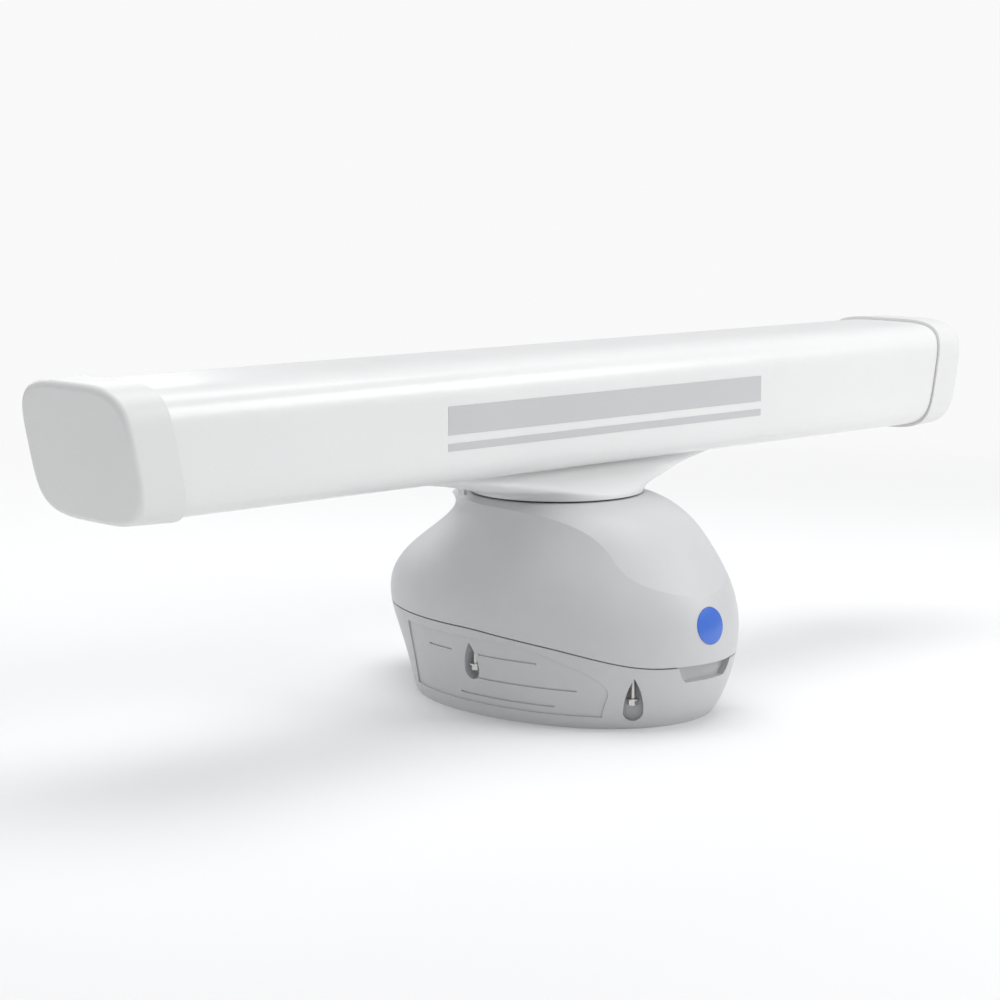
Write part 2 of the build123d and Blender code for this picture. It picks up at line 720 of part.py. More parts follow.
def ball_track(middle):
    return Location((0, 0, middle)) * Torus(BALL_CIRCLE, BALL_RADIUS + GROOVE_PLAY)


def outer_race(low):
    ring = tube(BEARING_OUTER, OUTER_SHOULDER, low, low + BEARING_HIGH)
    return ring - ball_track(low + BEARING_HIGH / 2)


def inner_race(low):
    ring = tube(INNER_SHOULDER, BEARING_BORE, low, low + BEARING_HIGH)
    return ring - ball_track(low + BEARING_HIGH / 2)


def bearing_balls(low):
    middle = low + BEARING_HIGH / 2
    return [Location((x, y, middle)) * Sphere(BALL_RADIUS) for x, y in around(BALLS, BALL_CIRCLE)]


def bearing_cage(low):
    middle = low + BEARING_HIGH / 2
    ring = tube(CAGE_OUTER, CAGE_INNER, middle - CAGE_HIGH / 2, middle + CAGE_HIGH / 2)
    pocket = Location((BALL_CIRCLE, 0, middle)) * Rotation(0, 90, 0) * Cylinder(BALL_RADIUS + GROOVE_PLAY, 8)
    return ring - [Rotation(0, 0, 360 * step / BALLS) * pocket for step in range(BALLS)]


def bearing_spacer():
    return tube(INNER_SHOULDER, BEARING_BORE, LOWER_BEARING + BEARING_HIGH, UPPER_BEARING)


def main_shaft():
    seat = UPPER_BEARING + BEARING_HIGH
    body = rod(15, 128, GEAR_LOW) + rod(BEARING_BORE, GEAR_LOW, seat)
    body = body + rod(21, seat, seat + 4) + rod(COLLAR, seat + 4, TURNTABLE_FOOT)
    body = body + rod(SHAFT_FLANGE, TURNTABLE_FOOT + 0.5, SHAFT_TOP) + rod(COLLAR, TURNTABLE_FOOT, SHAFT_TOP)
    body = body - rod(SHAFT_BORE, 0, SPAN)
    for x, y in around(6, 38):
        body = body - rod(3, TURNTABLE_FOOT, SHAFT_TOP + 1, x, y)
    return body - key_slot()


def key_slot():
    return block((-3, 3), (-BEARING_BORE - 3, -BEARING_BORE + 3), (GEAR_LOW + 1, GEAR_HIGH + 8))


def shaft_nut():
    outline = RegularPolygon(23, 8, major_radius=False) - Circle(15)
    return extrude(Location((0, 0, 131)) * outline, GEAR_LOW - 131)


# ---- drive -----------------------------------------------------------------------------------
def involute_outline(teeth, start):
    """Closed outline of a spur gear with involute flanks, a tooth centred at start."""
    pitch = MODULE * teeth / 2
    base = pitch * cos(PRESSURE_ANGLE)
    tip = pitch + MODULE
    root = pitch - 1.25 * MODULE
    tooth_half = pi / (2 * teeth) - BACKLASH / (2 * pitch)
    pitch_roll = tan(PRESSURE_ANGLE) - PRESSURE_ANGLE

    def flank_half(radius):
        roll = sqrt(max((radius / base) ** 2 - 1, 0))
        return tooth_half + pitch_roll - (roll - atan2(roll, 1))

    first = max(base, root)
    steps = 4
    radii = [first + (tip - first) * step / steps for step in range(steps + 1)]
    points = []
    for tooth in range(teeth):
        middle = start + 2 * pi * tooth / teeth
        rising = [(root, -flank_half(first))] if root < base else []
        rising += [(radius, -flank_half(radius)) for radius in radii]
        falling = [(radius, -angle) for radius, angle in reversed(rising)]
        for radius, angle in rising + falling:
            points.append((radius * cos(middle + angle), radius * sin(middle + angle)))
    return Polyline(*points, close=True)


def drive_gear():
    blank = make_face(involute_outline(GEAR_TEETH, pi / 2))
    body = extrude(Location((0, 0, GEAR_LOW)) * blank, GEAR_HIGH - GEAR_LOW)
    body = body + rod(INNER_SHOULDER, GEAR_LOW, LOWER_BEARING)
    cuts = [tube(64, 30, low, low + 4) for low in (GEAR_LOW - 1, GEAR_HIGH - 3)]
    cuts += [rod(9, GEAR_LOW, GEAR_HIGH, x, y) for x, y in around(6, 47)]
    return body - cuts - [rod(BEARING_BORE, 0, SPAN), key_slot()]


def gear_key():
    return key_slot() & tube(INNER_SHOULDER - 1.5, SHAFT_BORE, GEAR_LOW, LOWER_BEARING)


def index_magnet():
    return rod(4, GEAR_LOW + 0.5, GEAR_LOW + 3, 0, -57)


def pinion():
    turn = 3 * pi / 2 + pi / PINION_TEETH
    face = make_face(involute_outline(PINION_TEETH, turn)) - Circle(MOTOR_SHAFT)
    return extrude(Location((0, CENTRES, GEAR_LOW - 1)) * face, GEAR_HIGH - GEAR_LOW + 2)


def motor_shaft():
    return rod(MOTOR_SHAFT, GEAR_LOW - 4, MOTOR_TOP - 2, 0, CENTRES)


def motor_rotor():
    return tube(15.4, MOTOR_SHAFT, MOTOR_LOW + 6, MOTOR_TOP - 6, 0, CENTRES)


def motor_stator():
    ring = tube(MOTOR_RADIUS - 2, 16, MOTOR_LOW + 8, MOTOR_TOP - 8, 0, CENTRES)
    for u, v in around(12, 20):
        ring = ring - rod(2.2, MOTOR_LOW, MOTOR_TOP, u, v + CENTRES)
    return ring


def motor_can():
    body = rod(MOTOR_RADIUS, MOTOR_LOW, MOTOR_TOP, 0, CENTRES) + rod(10.9, PLATE_LOW + 2, MOTOR_LOW, 0, CENTRES)
    body = body - rod(MOTOR_RADIUS - 2, MOTOR_LOW + 4, MOTOR_TOP - 3, 0, CENTRES)
    body = body - rod(MOTOR_SHAFT + HINGE_PLAY, 0, MOTOR_TOP - 1, 0, CENTRES)
    for u, v in around(4, 21, pi / 4):
        body = body - rod(1.5, MOTOR_LOW - 1, MOTOR_LOW + 4, u, v + CENTRES)
    return body


def motor_plate():
    """Plate under the carrier: clamps the lower bearing and carries the motor."""
    outline = make_hull(Circle(42).edges() + (Location((0, CENTRES)) * Circle(33)).edges())
    body = extrude(Location((0, 0, PLATE_LOW)) * outline, 8)
    body = body + rod(BEARING_OUTER - 0.1, MOTOR_LOW, LOWER_BEARING)
    body = body - rod(OUTER_SHOULDER + 0.7, 0, SPAN) - rod(11, 0, SPAN, 0, CENTRES)
    for x, y in around(4, 36, pi / 4):
        body = body - rod(2.2, 0, SPAN, x, y) - rod(4, 0, PLATE_LOW + 4, x, y)
    for u, v in around(4, 21, pi / 4):
        body = body - rod(1.7, 0, SPAN, u, v + CENTRES) - rod(3.2, 0, PLATE_LOW + 4, u, v + CENTRES)
    return body


def plate_screws():
    seat = PLATE_LOW + 4
    screws = [cap_screw(x, y, seat, 14, 2, 3.5, 3.8) for x, y in around(4, 36, pi / 4)]
    return screws + [cap_screw(u, v + CENTRES, seat, 8, 1.5, 2.75, 3) for u, v in around(4, 21, pi / 4)]


def position_sensor():
    """Hall sensor post under the gear's index magnet."""
    foot = block((-12, 12), (-65, -49), (CASE_TOP, CASE_TOP + 3))
    post = block((-5, 5), (-60, -54), (CASE_TOP, GEAR_LOW - 3))
    return foot + post


# ---- transceiver -----------------------------------------------------------------------------
def case_outline(low, high, inset=0.0):
    return block((-CASE_HALF + inset, CASE_HALF - inset), (CASE_FRONT + inset, CASE_REAR - inset), (low, high))


def transceiver_case():
    body = case_outline(CASE_LOW, CASE_TOP) - case_outline(CASE_LOW - 1, CASE_TOP - 4, CASE_WALL)
    for x, y in CASE_LUGS:
        if abs(x) > CASE_HALF:
            inner, outer = sorted((copysign(CASE_HALF - 1, x), x))
            body = body + block((inner, outer), (y - 8, y + 8), (CASE_TOP - 6, CASE_TOP))
            body = body + rod(8, CASE_TOP - 6, CASE_TOP, x, y)
    for step in range(6):
        y = -140 + 14 * step
        body = body + block((-50, 50), (y - 1.2, y + 1.2), (CASE_TOP - 1, CASE_TOP + 9))
    roof = CASE_TOP - 3
    body = body + [rod(4, CASE_LOW, roof, x, y) for x, y in case_corners()]
    body = body + [rod(4, CASE_BOARD_LOW + BOARD_THICK, roof, x, y) for x, y in board_corners(CASE_BOARD)]
    cuts = [rod(2.2, 0, CASE_TOP + 1, x, y) for x, y in CASE_LUGS]
    cuts += [rod(1.5, 0, CASE_LOW + 9, x, y) for x, y in case_corners()]
    cuts += [rod(1.5, 0, CASE_BOARD_LOW + 8, x, y) for x, y in board_corners(CASE_BOARD)]
    return body - cuts - rod(7, CASE_TOP - 5, CASE_TOP + 1)


def case_lid():
    lid = case_outline(CASE_LOW - 3, CASE_LOW)
    for x, y in case_corners():
        lid = lid - rod(1.5, 0, CASE_TOP, x, y)
    return lid


def case_corners():
    return [(x, y) for x in (-70, 70) for y in (-159, -65, 29)]


def lid_screws():
    return [cap_screw(x, y, CASE_LOW - 3, 10, 1.5, 2.75, 2) for x, y in case_corners()]


def case_board_screws():
    return [cap_screw(x, y, CASE_BOARD_LOW, 8, 1.5, 2.75, 2) for x, y in board_corners(CASE_BOARD)]


def hanger_screws():
    """Long screws that hang the transceiver from the cover's bosses."""
    return [cap_screw(x, y, CASE_TOP - 6 if abs(x) > CASE_HALF else CASE_TOP - 4, 14, 2, 3.5, 4)
            for x, y in CASE_LUGS]


def transceiver_board():
    x_low, x_high, y_low, y_high = CASE_BOARD
    board = block((x_low, x_high), (y_low, y_high), (CASE_BOARD_LOW, CASE_BOARD_LOW + BOARD_THICK))
    return board - [rod(1.5, 0, CASE_TOP, x, y) for x, y in board_corners(CASE_BOARD)]


def rotary_joint_stator():
    body = rod(22, CASE_TOP, CASE_TOP + 5) + rod(8, CASE_TOP + 5, 240)
    return body - rod(3, CASE_TOP - 1, 241)


def rotary_joint_rotor():
    body = rod(SHAFT_BORE, 150, 262) + rod(20, SHAFT_TOP + 6, 262)
    body = body - rod(8.08, 0, 244) - rod(3, 243, 263)
    return body


# ---- turntable and bar -----------------------------------------------------------------------
def fairing_skin(inset, sections):
    rings = []
    for height, half_long, half_wide, power in sections:
        rings.append(level_ring(height, half_long - inset, half_wide - inset, half_wide - inset, power))
    return Solid.make_loft(rings)


def turntable():
    """Fairing that carries the bar: a round foot that spreads into a saddle under the bar."""
    top = BAR_CENTRE - BAR_HALF_HIGH - SADDLE_PLAY
    bar = bar_prism(SPAN, BAR_HALF_DEPTH + SADDLE_PLAY, BAR_HALF_HIGH + SADDLE_PLAY, BAR_POWER)
    body = fairing_skin(0, FAIRING) - bar
    hollow = fairing_skin(FAIRING_WALL, FAIRING[2:]) & block((-SPAN, SPAN), (-SPAN, SPAN), (252, SPAN))
    keep = rod(56, 250, top)
    for x, y in ANTENNA_BOLTS:
        keep = keep + rod(11, 240, top, x, y)
    keep = keep + block((-235, 235), (-4, 4), (250, top - 4))
    for x in (-180, -85, 85, 180):
        keep = keep + block((x - 2, x + 2), (-88, 88), (250, top - 4))
    body = body - (hollow - keep)
    for x, y in ANTENNA_BOLTS:
        body = body + rod(9, ANTENNA_HEAD_LOW + ANTENNA_HEAD_HIGH + 1, top, x, y)
        body = body - rod(ANTENNA_BOLT + 0.2, 0, SPAN, x, y)
        body = body - rod(7.5, 0, ANTENNA_HEAD_LOW + ANTENNA_HEAD_HIGH + 1, x, y)
    body = body - rod(SHAFT_FLANGE + 1, 0, SHAFT_TOP) - rod(22, 0, SPAN)
    for x, y in around(6, 38):
        body = body - rod(3.3, 0, SPAN, x, y) - rod(6, SHAFT_TOP + 10, SPAN, x, y)
    return body


def turntable_screws():
    seat = SHAFT_TOP + 10
    return [cap_screw(x, y, seat, 17, 3, 5, 6, upward=False) for x, y in around(6, 38)]


def antenna_bolts():
    seat = ANTENNA_HEAD_LOW + ANTENNA_HEAD_HIGH
    bolts = []
    for x, y in ANTENNA_BOLTS:
        body = rod(ANTENNA_BOLT, seat, SPINE_HIGH, x, y) + rod(ANTENNA_HEAD, ANTENNA_HEAD_LOW, seat, x, y)
        bolts.append(body - hexagon(6, ANTENNA_HEAD_LOW, ANTENNA_HEAD_LOW + 4, x, y))
    return bolts


def bolt_washers():
    seat = ANTENNA_HEAD_LOW + ANTENNA_HEAD_HIGH
    return [tube(7, ANTENNA_BOLT + 0.2, seat, seat + 1, x, y) for x, y in ANTENNA_BOLTS]


def bar_ring(station, half_depth, half_high, power, rake=0.0):
    """Upright outline across the bar; rake leans its plane outwards towards the top."""
    points = []
    for u, v in superellipse(power, 56):
        rise = v * half_high
        points.append((station + rake * rise, u * half_depth, BAR_CENTRE + rise))
    return Wire([Spline(*points, periodic=True)])


def bar_prism(half_long, half_depth, half_high, power):
    ends = [bar_ring(x, half_depth, half_high, power) for x in (-half_long, half_long)]
    return Solid.make_loft(ends, ruled=True)


def raked_block(station, reach=SPAN):
    """Everything beyond a raked plane, towards +X."""
    high = 120
    outline = [
        (station - RAKE * high, 0, BAR_CENTRE - high),
        (station + RAKE * high, 0, BAR_CENTRE + high),
        (station + reach, 0, BAR_CENTRE + high),
        (station + reach, 0, BAR_CENTRE - high),
    ]
    return extrude(Face(Wire(Polyline(*outline, close=True).edges())), amount=SPAN, dir=(0, 1, 0), both=True)


def both_ends(solid):
    return [solid, mirror(solid, about=Plane.YZ)]


def radome_shell():
    long = SEAM + 20
    body = bar_prism(long, BAR_HALF_DEPTH, BAR_HALF_HIGH, BAR_POWER)
    body = body - bar_prism(long + 1, BAR_HALF_DEPTH - RADOME_WALL, BAR_HALF_HIGH - RADOME_WALL, BAR_POWER)
    for end in both_ends(raked_block(SEAM)):
        body = body - end
    for x, y in ANTENNA_BOLTS:
        body = body - rod(ANTENNA_BOLT + 0.3, 260, 280, x, y)
    return body - rod(14, 260, 280)


def end_cap():
    """Right-hand cap: a cup with a rounded rim and a spigot that enters the radome."""
    stations = [(SEAM + CAP_SEAL, CAP_SEAM), (BAR_END, CAP_FACE)]
    outer = Solid.make_loft([bar_ring(x, *shape, RAKE) for x, shape in stations])
    face_edge = outer.faces().sort_by(Axis.X)[-1].edges()
    outer = fillet(face_edge, CAP_ROUND)
    spigot_depth = BAR_HALF_DEPTH - RADOME_WALL - 0.4
    spigot_high = BAR_HALF_HIGH - RADOME_WALL - 0.4
    spigot_rings = [bar_ring(x, spigot_depth, spigot_high, BAR_POWER, RAKE) for x in (SEAM - SPIGOT, SEAM + 4)]
    body = outer + Solid.make_loft(spigot_rings, ruled=True)
    hollow_rings = [
        bar_ring(x, spigot_depth - 4, spigot_high - 4, BAR_POWER, RAKE) for x in (SEAM - SPIGOT - 1, BAR_END - 9)
    ]
    return body - Solid.make_loft(hollow_rings, ruled=True)


def cap_seal():
    """Thin seal between the radome's end and the cap."""
    rings = [bar_ring(x, BAR_HALF_DEPTH - 0.8, BAR_HALF_HIGH - 0.8, BAR_POWER, RAKE) for x in (SEAM, SEAM + CAP_SEAL)]
    holes = [bar_ring(x, BAR_HALF_DEPTH - 3.2, BAR_HALF_HIGH - 3.2, BAR_POWER, RAKE) for x in (SEAM - 1, SEAM + 2)]
    return Solid.make_loft(rings, ruled=True) - Solid.make_loft(holes, ruled=True)


def array_spine():
    """Channel that carries the bar's load inside the radome."""
    body = block((-SPINE_LONG, SPINE_LONG), (-SPINE_HALF, SPINE_HALF), (SPINE_LOW, SPINE_HIGH))
    body = body - block((-SPINE_LONG - 1, SPINE_LONG + 1), (-SPINE_HALF + 4, -4), (SPINE_LOW + 5, SPAN))
    body = body - block((-SPINE_LONG - 1, SPINE_LONG + 1), (4, SPINE_HALF - 4), (SPINE_LOW + 5, SPAN))
    for x, y in ANTENNA_BOLTS:
        body = body + rod(9, SPINE_LOW, SPINE_HIGH, x, y)
        body = body - rod(ANTENNA_BOLT, 0, SPAN, x, y)
    return body - rod(14, 0, SPAN)


def feed_block():
    """Post that carries the signal from the rotary joint up to the middle of the waveguide."""
    stem = rod(11, 262, SPINE_HIGH + 4) + block((-14, 14), (-14, 14), (SPINE_HIGH, SPINE_HIGH + 6))
    riser = block((-10, 10), (-8, 8), (SPINE_HIGH + 6, BAR_CENTRE - GUIDE_TALL))
    head = block((-16, 16), (-10, 14), (BAR_CENTRE - GUIDE_TALL, BAR_CENTRE - GUIDE_TALL / 2))
    return stem + riser + head


def slotted_waveguide():
    """Rectangular guide with tilted slots cut in its narrow front wall."""
    half_tall = GUIDE_TALL / 2
    body = block((-GUIDE_LONG, GUIDE_LONG), (-10, GUIDE_WIDE - 10), (BAR_CENTRE - half_tall, BAR_CENTRE + half_tall))
    body = body - block((-GUIDE_LONG - 1, GUIDE_LONG + 1), (-10 + GUIDE_WALL, GUIDE_WIDE - 10 - GUIDE_WALL),
                        (BAR_CENTRE - half_tall + GUIDE_WALL, BAR_CENTRE + half_tall - GUIDE_WALL))
    pitch = 22
    count = ceil(2 * GUIDE_LONG / pitch) - 2
    slot = Box(1.6, 6, half_tall * 1.4)
    cuts = []
    for step in range(count):
        x = (step - (count - 1) / 2) * pitch
        lean = 18 if step % 2 else -18
        cuts.append(Location((x, -10, BAR_CENTRE)) * Rotation(0, lean, 0) * slot)
    return body - cuts


def flare_plates():
    """Upper and lower plates of the horn in front of the slots."""
    plates = []
    for side in (-1, 1):
        root = BAR_CENTRE + side * (GUIDE_TALL / 2 + 0.2)
        outline = [(12, root), (-14, root), (-70, BAR_CENTRE + side * 34), (-70, BAR_CENTRE + side * 36),
                   (-14, root + side * 2), (12, root + side * 2)]
        points = [(-GUIDE_LONG + 5, y, z) for y, z in outline]
        profile = Face(Wire(Polyline(*points, close=True).edges()))
        plates.append(extrude(profile, amount=2 * GUIDE_LONG - 10, dir=(1, 0, 0)))
    lower_gap = block((-18, 18), (-15, 18), (BAR_CENTRE - 20, BAR_CENTRE))
    return [plates[0] - lower_gap, plates[1]]


def foam_supports():
    """Low-loss foam blocks that hold the array upright on the spine."""
    blocks = []
    for x in (-500, -260, 260, 500):
        under = block((x - 15, x + 15), (-34, 34), (SPINE_HIGH, BAR_CENTRE - GUIDE_TALL / 2 - 2.4))
        flare_room = block((x - 16, x + 16), (-SPAN, -13), (BAR_CENTRE - 38, SPAN))
        blocks.append(under - flare_room)
    return blocks


def end_loads():
    """Absorbing wedges closing both ends of the waveguide."""
    side = GUIDE_WALL + 0.1
    wedge = block((GUIDE_LONG - 60, GUIDE_LONG - 2), (-10 + side, GUIDE_WIDE - 10 - side),
                  (BAR_CENTRE - GUIDE_TALL / 2 + side, BAR_CENTRE + GUIDE_TALL / 2 - side))
    tip = Location((GUIDE_LONG - 60, GUIDE_WIDE / 2 - 10, BAR_CENTRE)) * Rotation(0, 0, 14) * Box(60, 12, 20)
    return both_ends(wedge - Location((0, 8, 0)) * tip)


def front_stripes():
    """Two plain stripes bonded to the front face of the bar."""
    outer = bar_prism(STRIPE_HALF, BAR_HALF_DEPTH + STRIPE_THICK, BAR_HALF_HIGH + STRIPE_THICK, BAR_POWER)
    sheet = outer - bar_prism(STRIPE_HALF + 1, BAR_HALF_DEPTH, BAR_HALF_HIGH, BAR_POWER)
    return [sheet & block((-STRIPE_HALF, STRIPE_HALF), (-SPAN, 0), band) for band in STRIPES]


def mounting_inserts():
    inserts = []
    for x, y in mount_places():
        inserts.append(rod(INSERT_RADIUS, 0, INSERT_HIGH, x, y) - rod(MOUNT_HOLE, -1, INSERT_DEEP, x, y))
    return inserts


def save(name, shape):
    """Write one node, a single solid or a group of separate ones."""
    pieces = shape if isinstance(shape, list) else [shape]
    solids = [solid for piece in pieces for solid in piece.solids()]
    export_step(Compound(solids), f"parts/{name}.step")


def main():
    os.makedirs("parts", exist_ok=True)
    casing = Casing()
    save("lower_housing", lower_housing(casing))
    save("upper_housing", upper_housing(casing))
    save("housing_gasket", housing_gasket(casing))
    save("captive_bolts", captive_bolts())
    save("mounting_inserts", mounting_inserts())
    save("nose_badge", nose_badge())
    save("hinge_pin", hinge_pin())
    save("prop_stay", prop_stay())
    save("stay_pin", stay_pin())
    save("power_board", circuit_board(POWER_BOARD))
    save("motor_driver_board", circuit_board(DRIVER_BOARD))
    save("board_standoffs", board_standoffs())
    save("board_screws", board_screws())
    for name, x, radius in SOCKETS:
        save(name, cable_socket(x, radius))
    save("socket_contacts", socket_contacts())
    save("socket_nuts", socket_nuts())
    save("ground_stud", ground_stud())
    save("breather_vent", breather_vent())
    save("bearing_carrier", bearing_carrier())
    save("carrier_screws", carrier_screws())
    save("shaft_seal", shaft_seal())
    bearings = (UPPER_BEARING, LOWER_BEARING)
    save("bearing_outer_races", [outer_race(low) for low in bearings])
    save("bearing_inner_races", [inner_race(low) for low in bearings])
    save("bearing_balls", [ball for low in bearings for ball in bearing_balls(low)])
    save("bearing_cages", [bearing_cage(low) for low in bearings])
    save("bearing_spacer", bearing_spacer())
    save("main_shaft", main_shaft())
    save("shaft_nut", shaft_nut())
    save("drive_gear", drive_gear())
    save("gear_key", gear_key())
    save("index_magnet", index_magnet())
    save("pinion", pinion())
    save("motor_shaft", motor_shaft())
    save("motor_rotor", motor_rotor())
    save("motor_stator", motor_stator())
    save("motor_can", motor_can())
    save("motor_plate", motor_plate())
    save("plate_screws", plate_screws())
    save("position_sensor", position_sensor())
    save("transceiver_case", transceiver_case())
    save("transceiver_lid", case_lid())
    save("transceiver_screws", lid_screws() + hanger_screws() + case_board_screws())
    save("transceiver_board", transceiver_board())
    save("rotary_joint_stator", rotary_joint_stator())
    save("rotary_joint_rotor", rotary_joint_rotor())
    save("turntable", turntable())
    save("turntable_screws", turntable_screws())
    save("antenna_bolts", antenna_bolts() + bolt_washers())
    save("radome_shell", radome_shell())
    right_cap, left_cap = both_ends(end_cap())
    save("right_end_cap", right_cap)
    save("left_end_cap", left_cap)
    save("cap_seals", both_ends(cap_seal()))
    save("array_spine", array_spine())
    save("feed_block", feed_block())
    save("slotted_waveguide", slotted_waveguide())
    save("flare_plates", flare_plates())
    save("foam_supports", foam_supports())
    save("end_loads", end_loads())
    save("front_stripes", front_stripes())


main()
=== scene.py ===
import json
import math

import bmesh
import bpy
from mathutils import Matrix, Vector


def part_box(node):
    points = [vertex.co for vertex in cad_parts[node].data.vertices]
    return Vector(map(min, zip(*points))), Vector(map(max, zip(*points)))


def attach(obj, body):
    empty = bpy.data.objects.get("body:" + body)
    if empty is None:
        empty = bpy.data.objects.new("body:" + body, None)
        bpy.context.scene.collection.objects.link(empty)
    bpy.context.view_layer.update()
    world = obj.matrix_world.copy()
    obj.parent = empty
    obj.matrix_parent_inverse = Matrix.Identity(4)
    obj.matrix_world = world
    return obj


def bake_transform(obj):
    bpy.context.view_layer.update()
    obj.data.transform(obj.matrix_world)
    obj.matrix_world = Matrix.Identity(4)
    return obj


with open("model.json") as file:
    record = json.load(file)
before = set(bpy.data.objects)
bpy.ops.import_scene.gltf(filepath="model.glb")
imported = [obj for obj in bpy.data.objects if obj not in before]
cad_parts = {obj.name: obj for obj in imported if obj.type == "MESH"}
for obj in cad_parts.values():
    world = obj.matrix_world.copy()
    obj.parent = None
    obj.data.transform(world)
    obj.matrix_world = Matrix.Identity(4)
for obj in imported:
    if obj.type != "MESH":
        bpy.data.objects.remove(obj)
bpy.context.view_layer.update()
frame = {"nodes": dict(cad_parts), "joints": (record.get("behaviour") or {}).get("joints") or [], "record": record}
NODES = frame["nodes"]
MM = 0.001

EDGE_SAMPLES = 4
EDGE_FIRST_SHOWS = 0.97
EDGE_SHOWS_FULLY = 0.80


# ---- material building -----------------------------------------------------------------------
class Look:
    """One procedural material, built up from a few repeated node groups."""

    def __init__(self, name, colour, roughness, metallic=0.0):
        self.material = bpy.data.materials.new(name)
        self.material.use_nodes = True
        self.tree = self.material.node_tree
        self.shader = self.tree.nodes["Principled BSDF"]
        self.shader.inputs["Metallic"].default_value = metallic
        self.material.diffuse_color = (*colour, 1)
        self.colour = self.value_rgb(colour)
        self.roughness = self.value(roughness)
        self.normal = None
        self.place = self.add("ShaderNodeTexCoord").outputs["Object"]

    def add(self, kind, **settings):
        node = self.tree.nodes.new(kind)
        for key, value in settings.items():
            setattr(node, key, value)
        return node

    def join(self, source, target):
        self.tree.links.new(source, target)

    def value(self, number):
        node = self.add("ShaderNodeValue")
        node.outputs[0].default_value = number
        return node.outputs[0]

    def value_rgb(self, colour):
        node = self.add("ShaderNodeRGB")
        node.outputs[0].default_value = (*colour, 1)
        return node.outputs[0]

    def stretched(self, scale):
        """The object's own coordinates, scaled along each axis."""
        mapping = self.add("ShaderNodeMapping")
        mapping.inputs["Scale"].default_value = scale
        self.join(self.place, mapping.inputs["Vector"])
        return mapping.outputs["Vector"]

    def noise(self, size, detail=3.0, stretch=(1, 1, 1)):
        """Noise whose features are about size metres across."""
        node = self.add("ShaderNodeTexNoise")
        node.inputs["Scale"].default_value = 1 / size
        node.inputs["Detail"].default_value = detail
        self.join(self.stretched(stretch), node.inputs["Vector"])
        return node.outputs["Fac"]

    def cells(self, size):
        """Distance from the nearest of points scattered about size metres apart."""
        node = self.add("ShaderNodeTexVoronoi", feature="F1")
        node.inputs["Scale"].default_value = 1 / size
        self.join(self.place, node.inputs["Vector"])
        return node.outputs["Distance"]

    def bands(self, size, direction="Z", distortion=0.0):
        """Waves in layers across the direction, with a spacing that grows with size."""
        node = self.add("ShaderNodeTexWave", wave_type="BANDS", bands_direction=direction)
        node.inputs["Scale"].default_value = 1 / size
        node.inputs["Distortion"].default_value = distortion
        self.join(self.place, node.inputs["Vector"])
        return node.outputs["Fac"]

    def ramp(self, source, low, high, low_to=0.0, high_to=1.0):
        """Stretch source from low..high to low_to..high_to."""
        node = self.add("ShaderNodeMapRange")
        for slot, number in zip(("From Min", "From Max", "To Min", "To Max"), (low, high, low_to, high_to)):
            node.inputs[slot].default_value = number
        self.join(source, node.inputs["Value"])
        return node.outputs["Result"]

    def maths(self, operation, first, second):
        node = self.add("ShaderNodeMath", operation=operation)
        for slot, item in zip(node.inputs, (first, second)):
            if isinstance(item, (int, float)):
                slot.default_value = item
            else:
                self.join(item, slot)
        return node.outputs[0]

    def tint(self, mask, colour, strength=1.0):
        """Blend the colour so far towards another one where mask is high."""
        node = self.add("ShaderNodeMix", data_type="RGBA")
        self.join(self.maths("MULTIPLY", mask, strength), node.inputs["Factor"])
        self.join(self.colour, node.inputs[6])
        node.inputs[7].default_value = (*colour, 1)
        self.colour = node.outputs[2]

    def vary_roughness(self, mask, amount):
        """Spread the roughness by amount, centred on its own value."""
        centred = self.maths("MULTIPLY", self.maths("SUBTRACT", mask, 0.5), amount)
        self.roughness = self.maths("ADD", self.roughness, centred)

    def bump(self, height, distance, strength=1.0):
        """Raise the shading by distance metres where height is high, on top of earlier bumps."""
        node = self.add("ShaderNodeBump")
        node.inputs["Strength"].default_value = strength
        node.inputs["Distance"].default_value = distance
        self.join(height, node.inputs["Height"])
        if self.normal is not None:
            self.join(self.normal, node.inputs["Normal"])
        self.normal = node.outputs["Normal"]

    def soft_edges(self, radius):
        """Round every edge in the shading and return a mask of where the edges are."""
        bevel = self.add("ShaderNodeBevel", samples=EDGE_SAMPLES)
        bevel.inputs["Radius"].default_value = radius
        self.normal = bevel.outputs["Normal"]
        true_normal = self.add("ShaderNodeNewGeometry").outputs["Normal"]
        turned = self.add("ShaderNodeVectorMath", operation="DOT_PRODUCT")
        self.join(bevel.outputs["Normal"], turned.inputs[0])
        self.join(true_normal, turned.inputs[1])
        return self.ramp(turned.outputs["Value"], EDGE_FIRST_SHOWS, EDGE_SHOWS_FULLY)

    def set(self, **inputs):
        for key, value in inputs.items():
            self.shader.inputs[key.replace("_", " ")].default_value = value
        return self

    def finish(self):
        self.join(self.colour, self.shader.inputs["Base Color"])
        self.join(self.roughness, self.shader.inputs["Roughness"])
        if self.normal is not None:
            self.join(self.normal, self.shader.inputs["Normal"])
        return self.material


def shade(colour, factor):
    """The colour made darker or lighter, kept within range."""
    return tuple(min(1, channel * factor) for channel in colour)


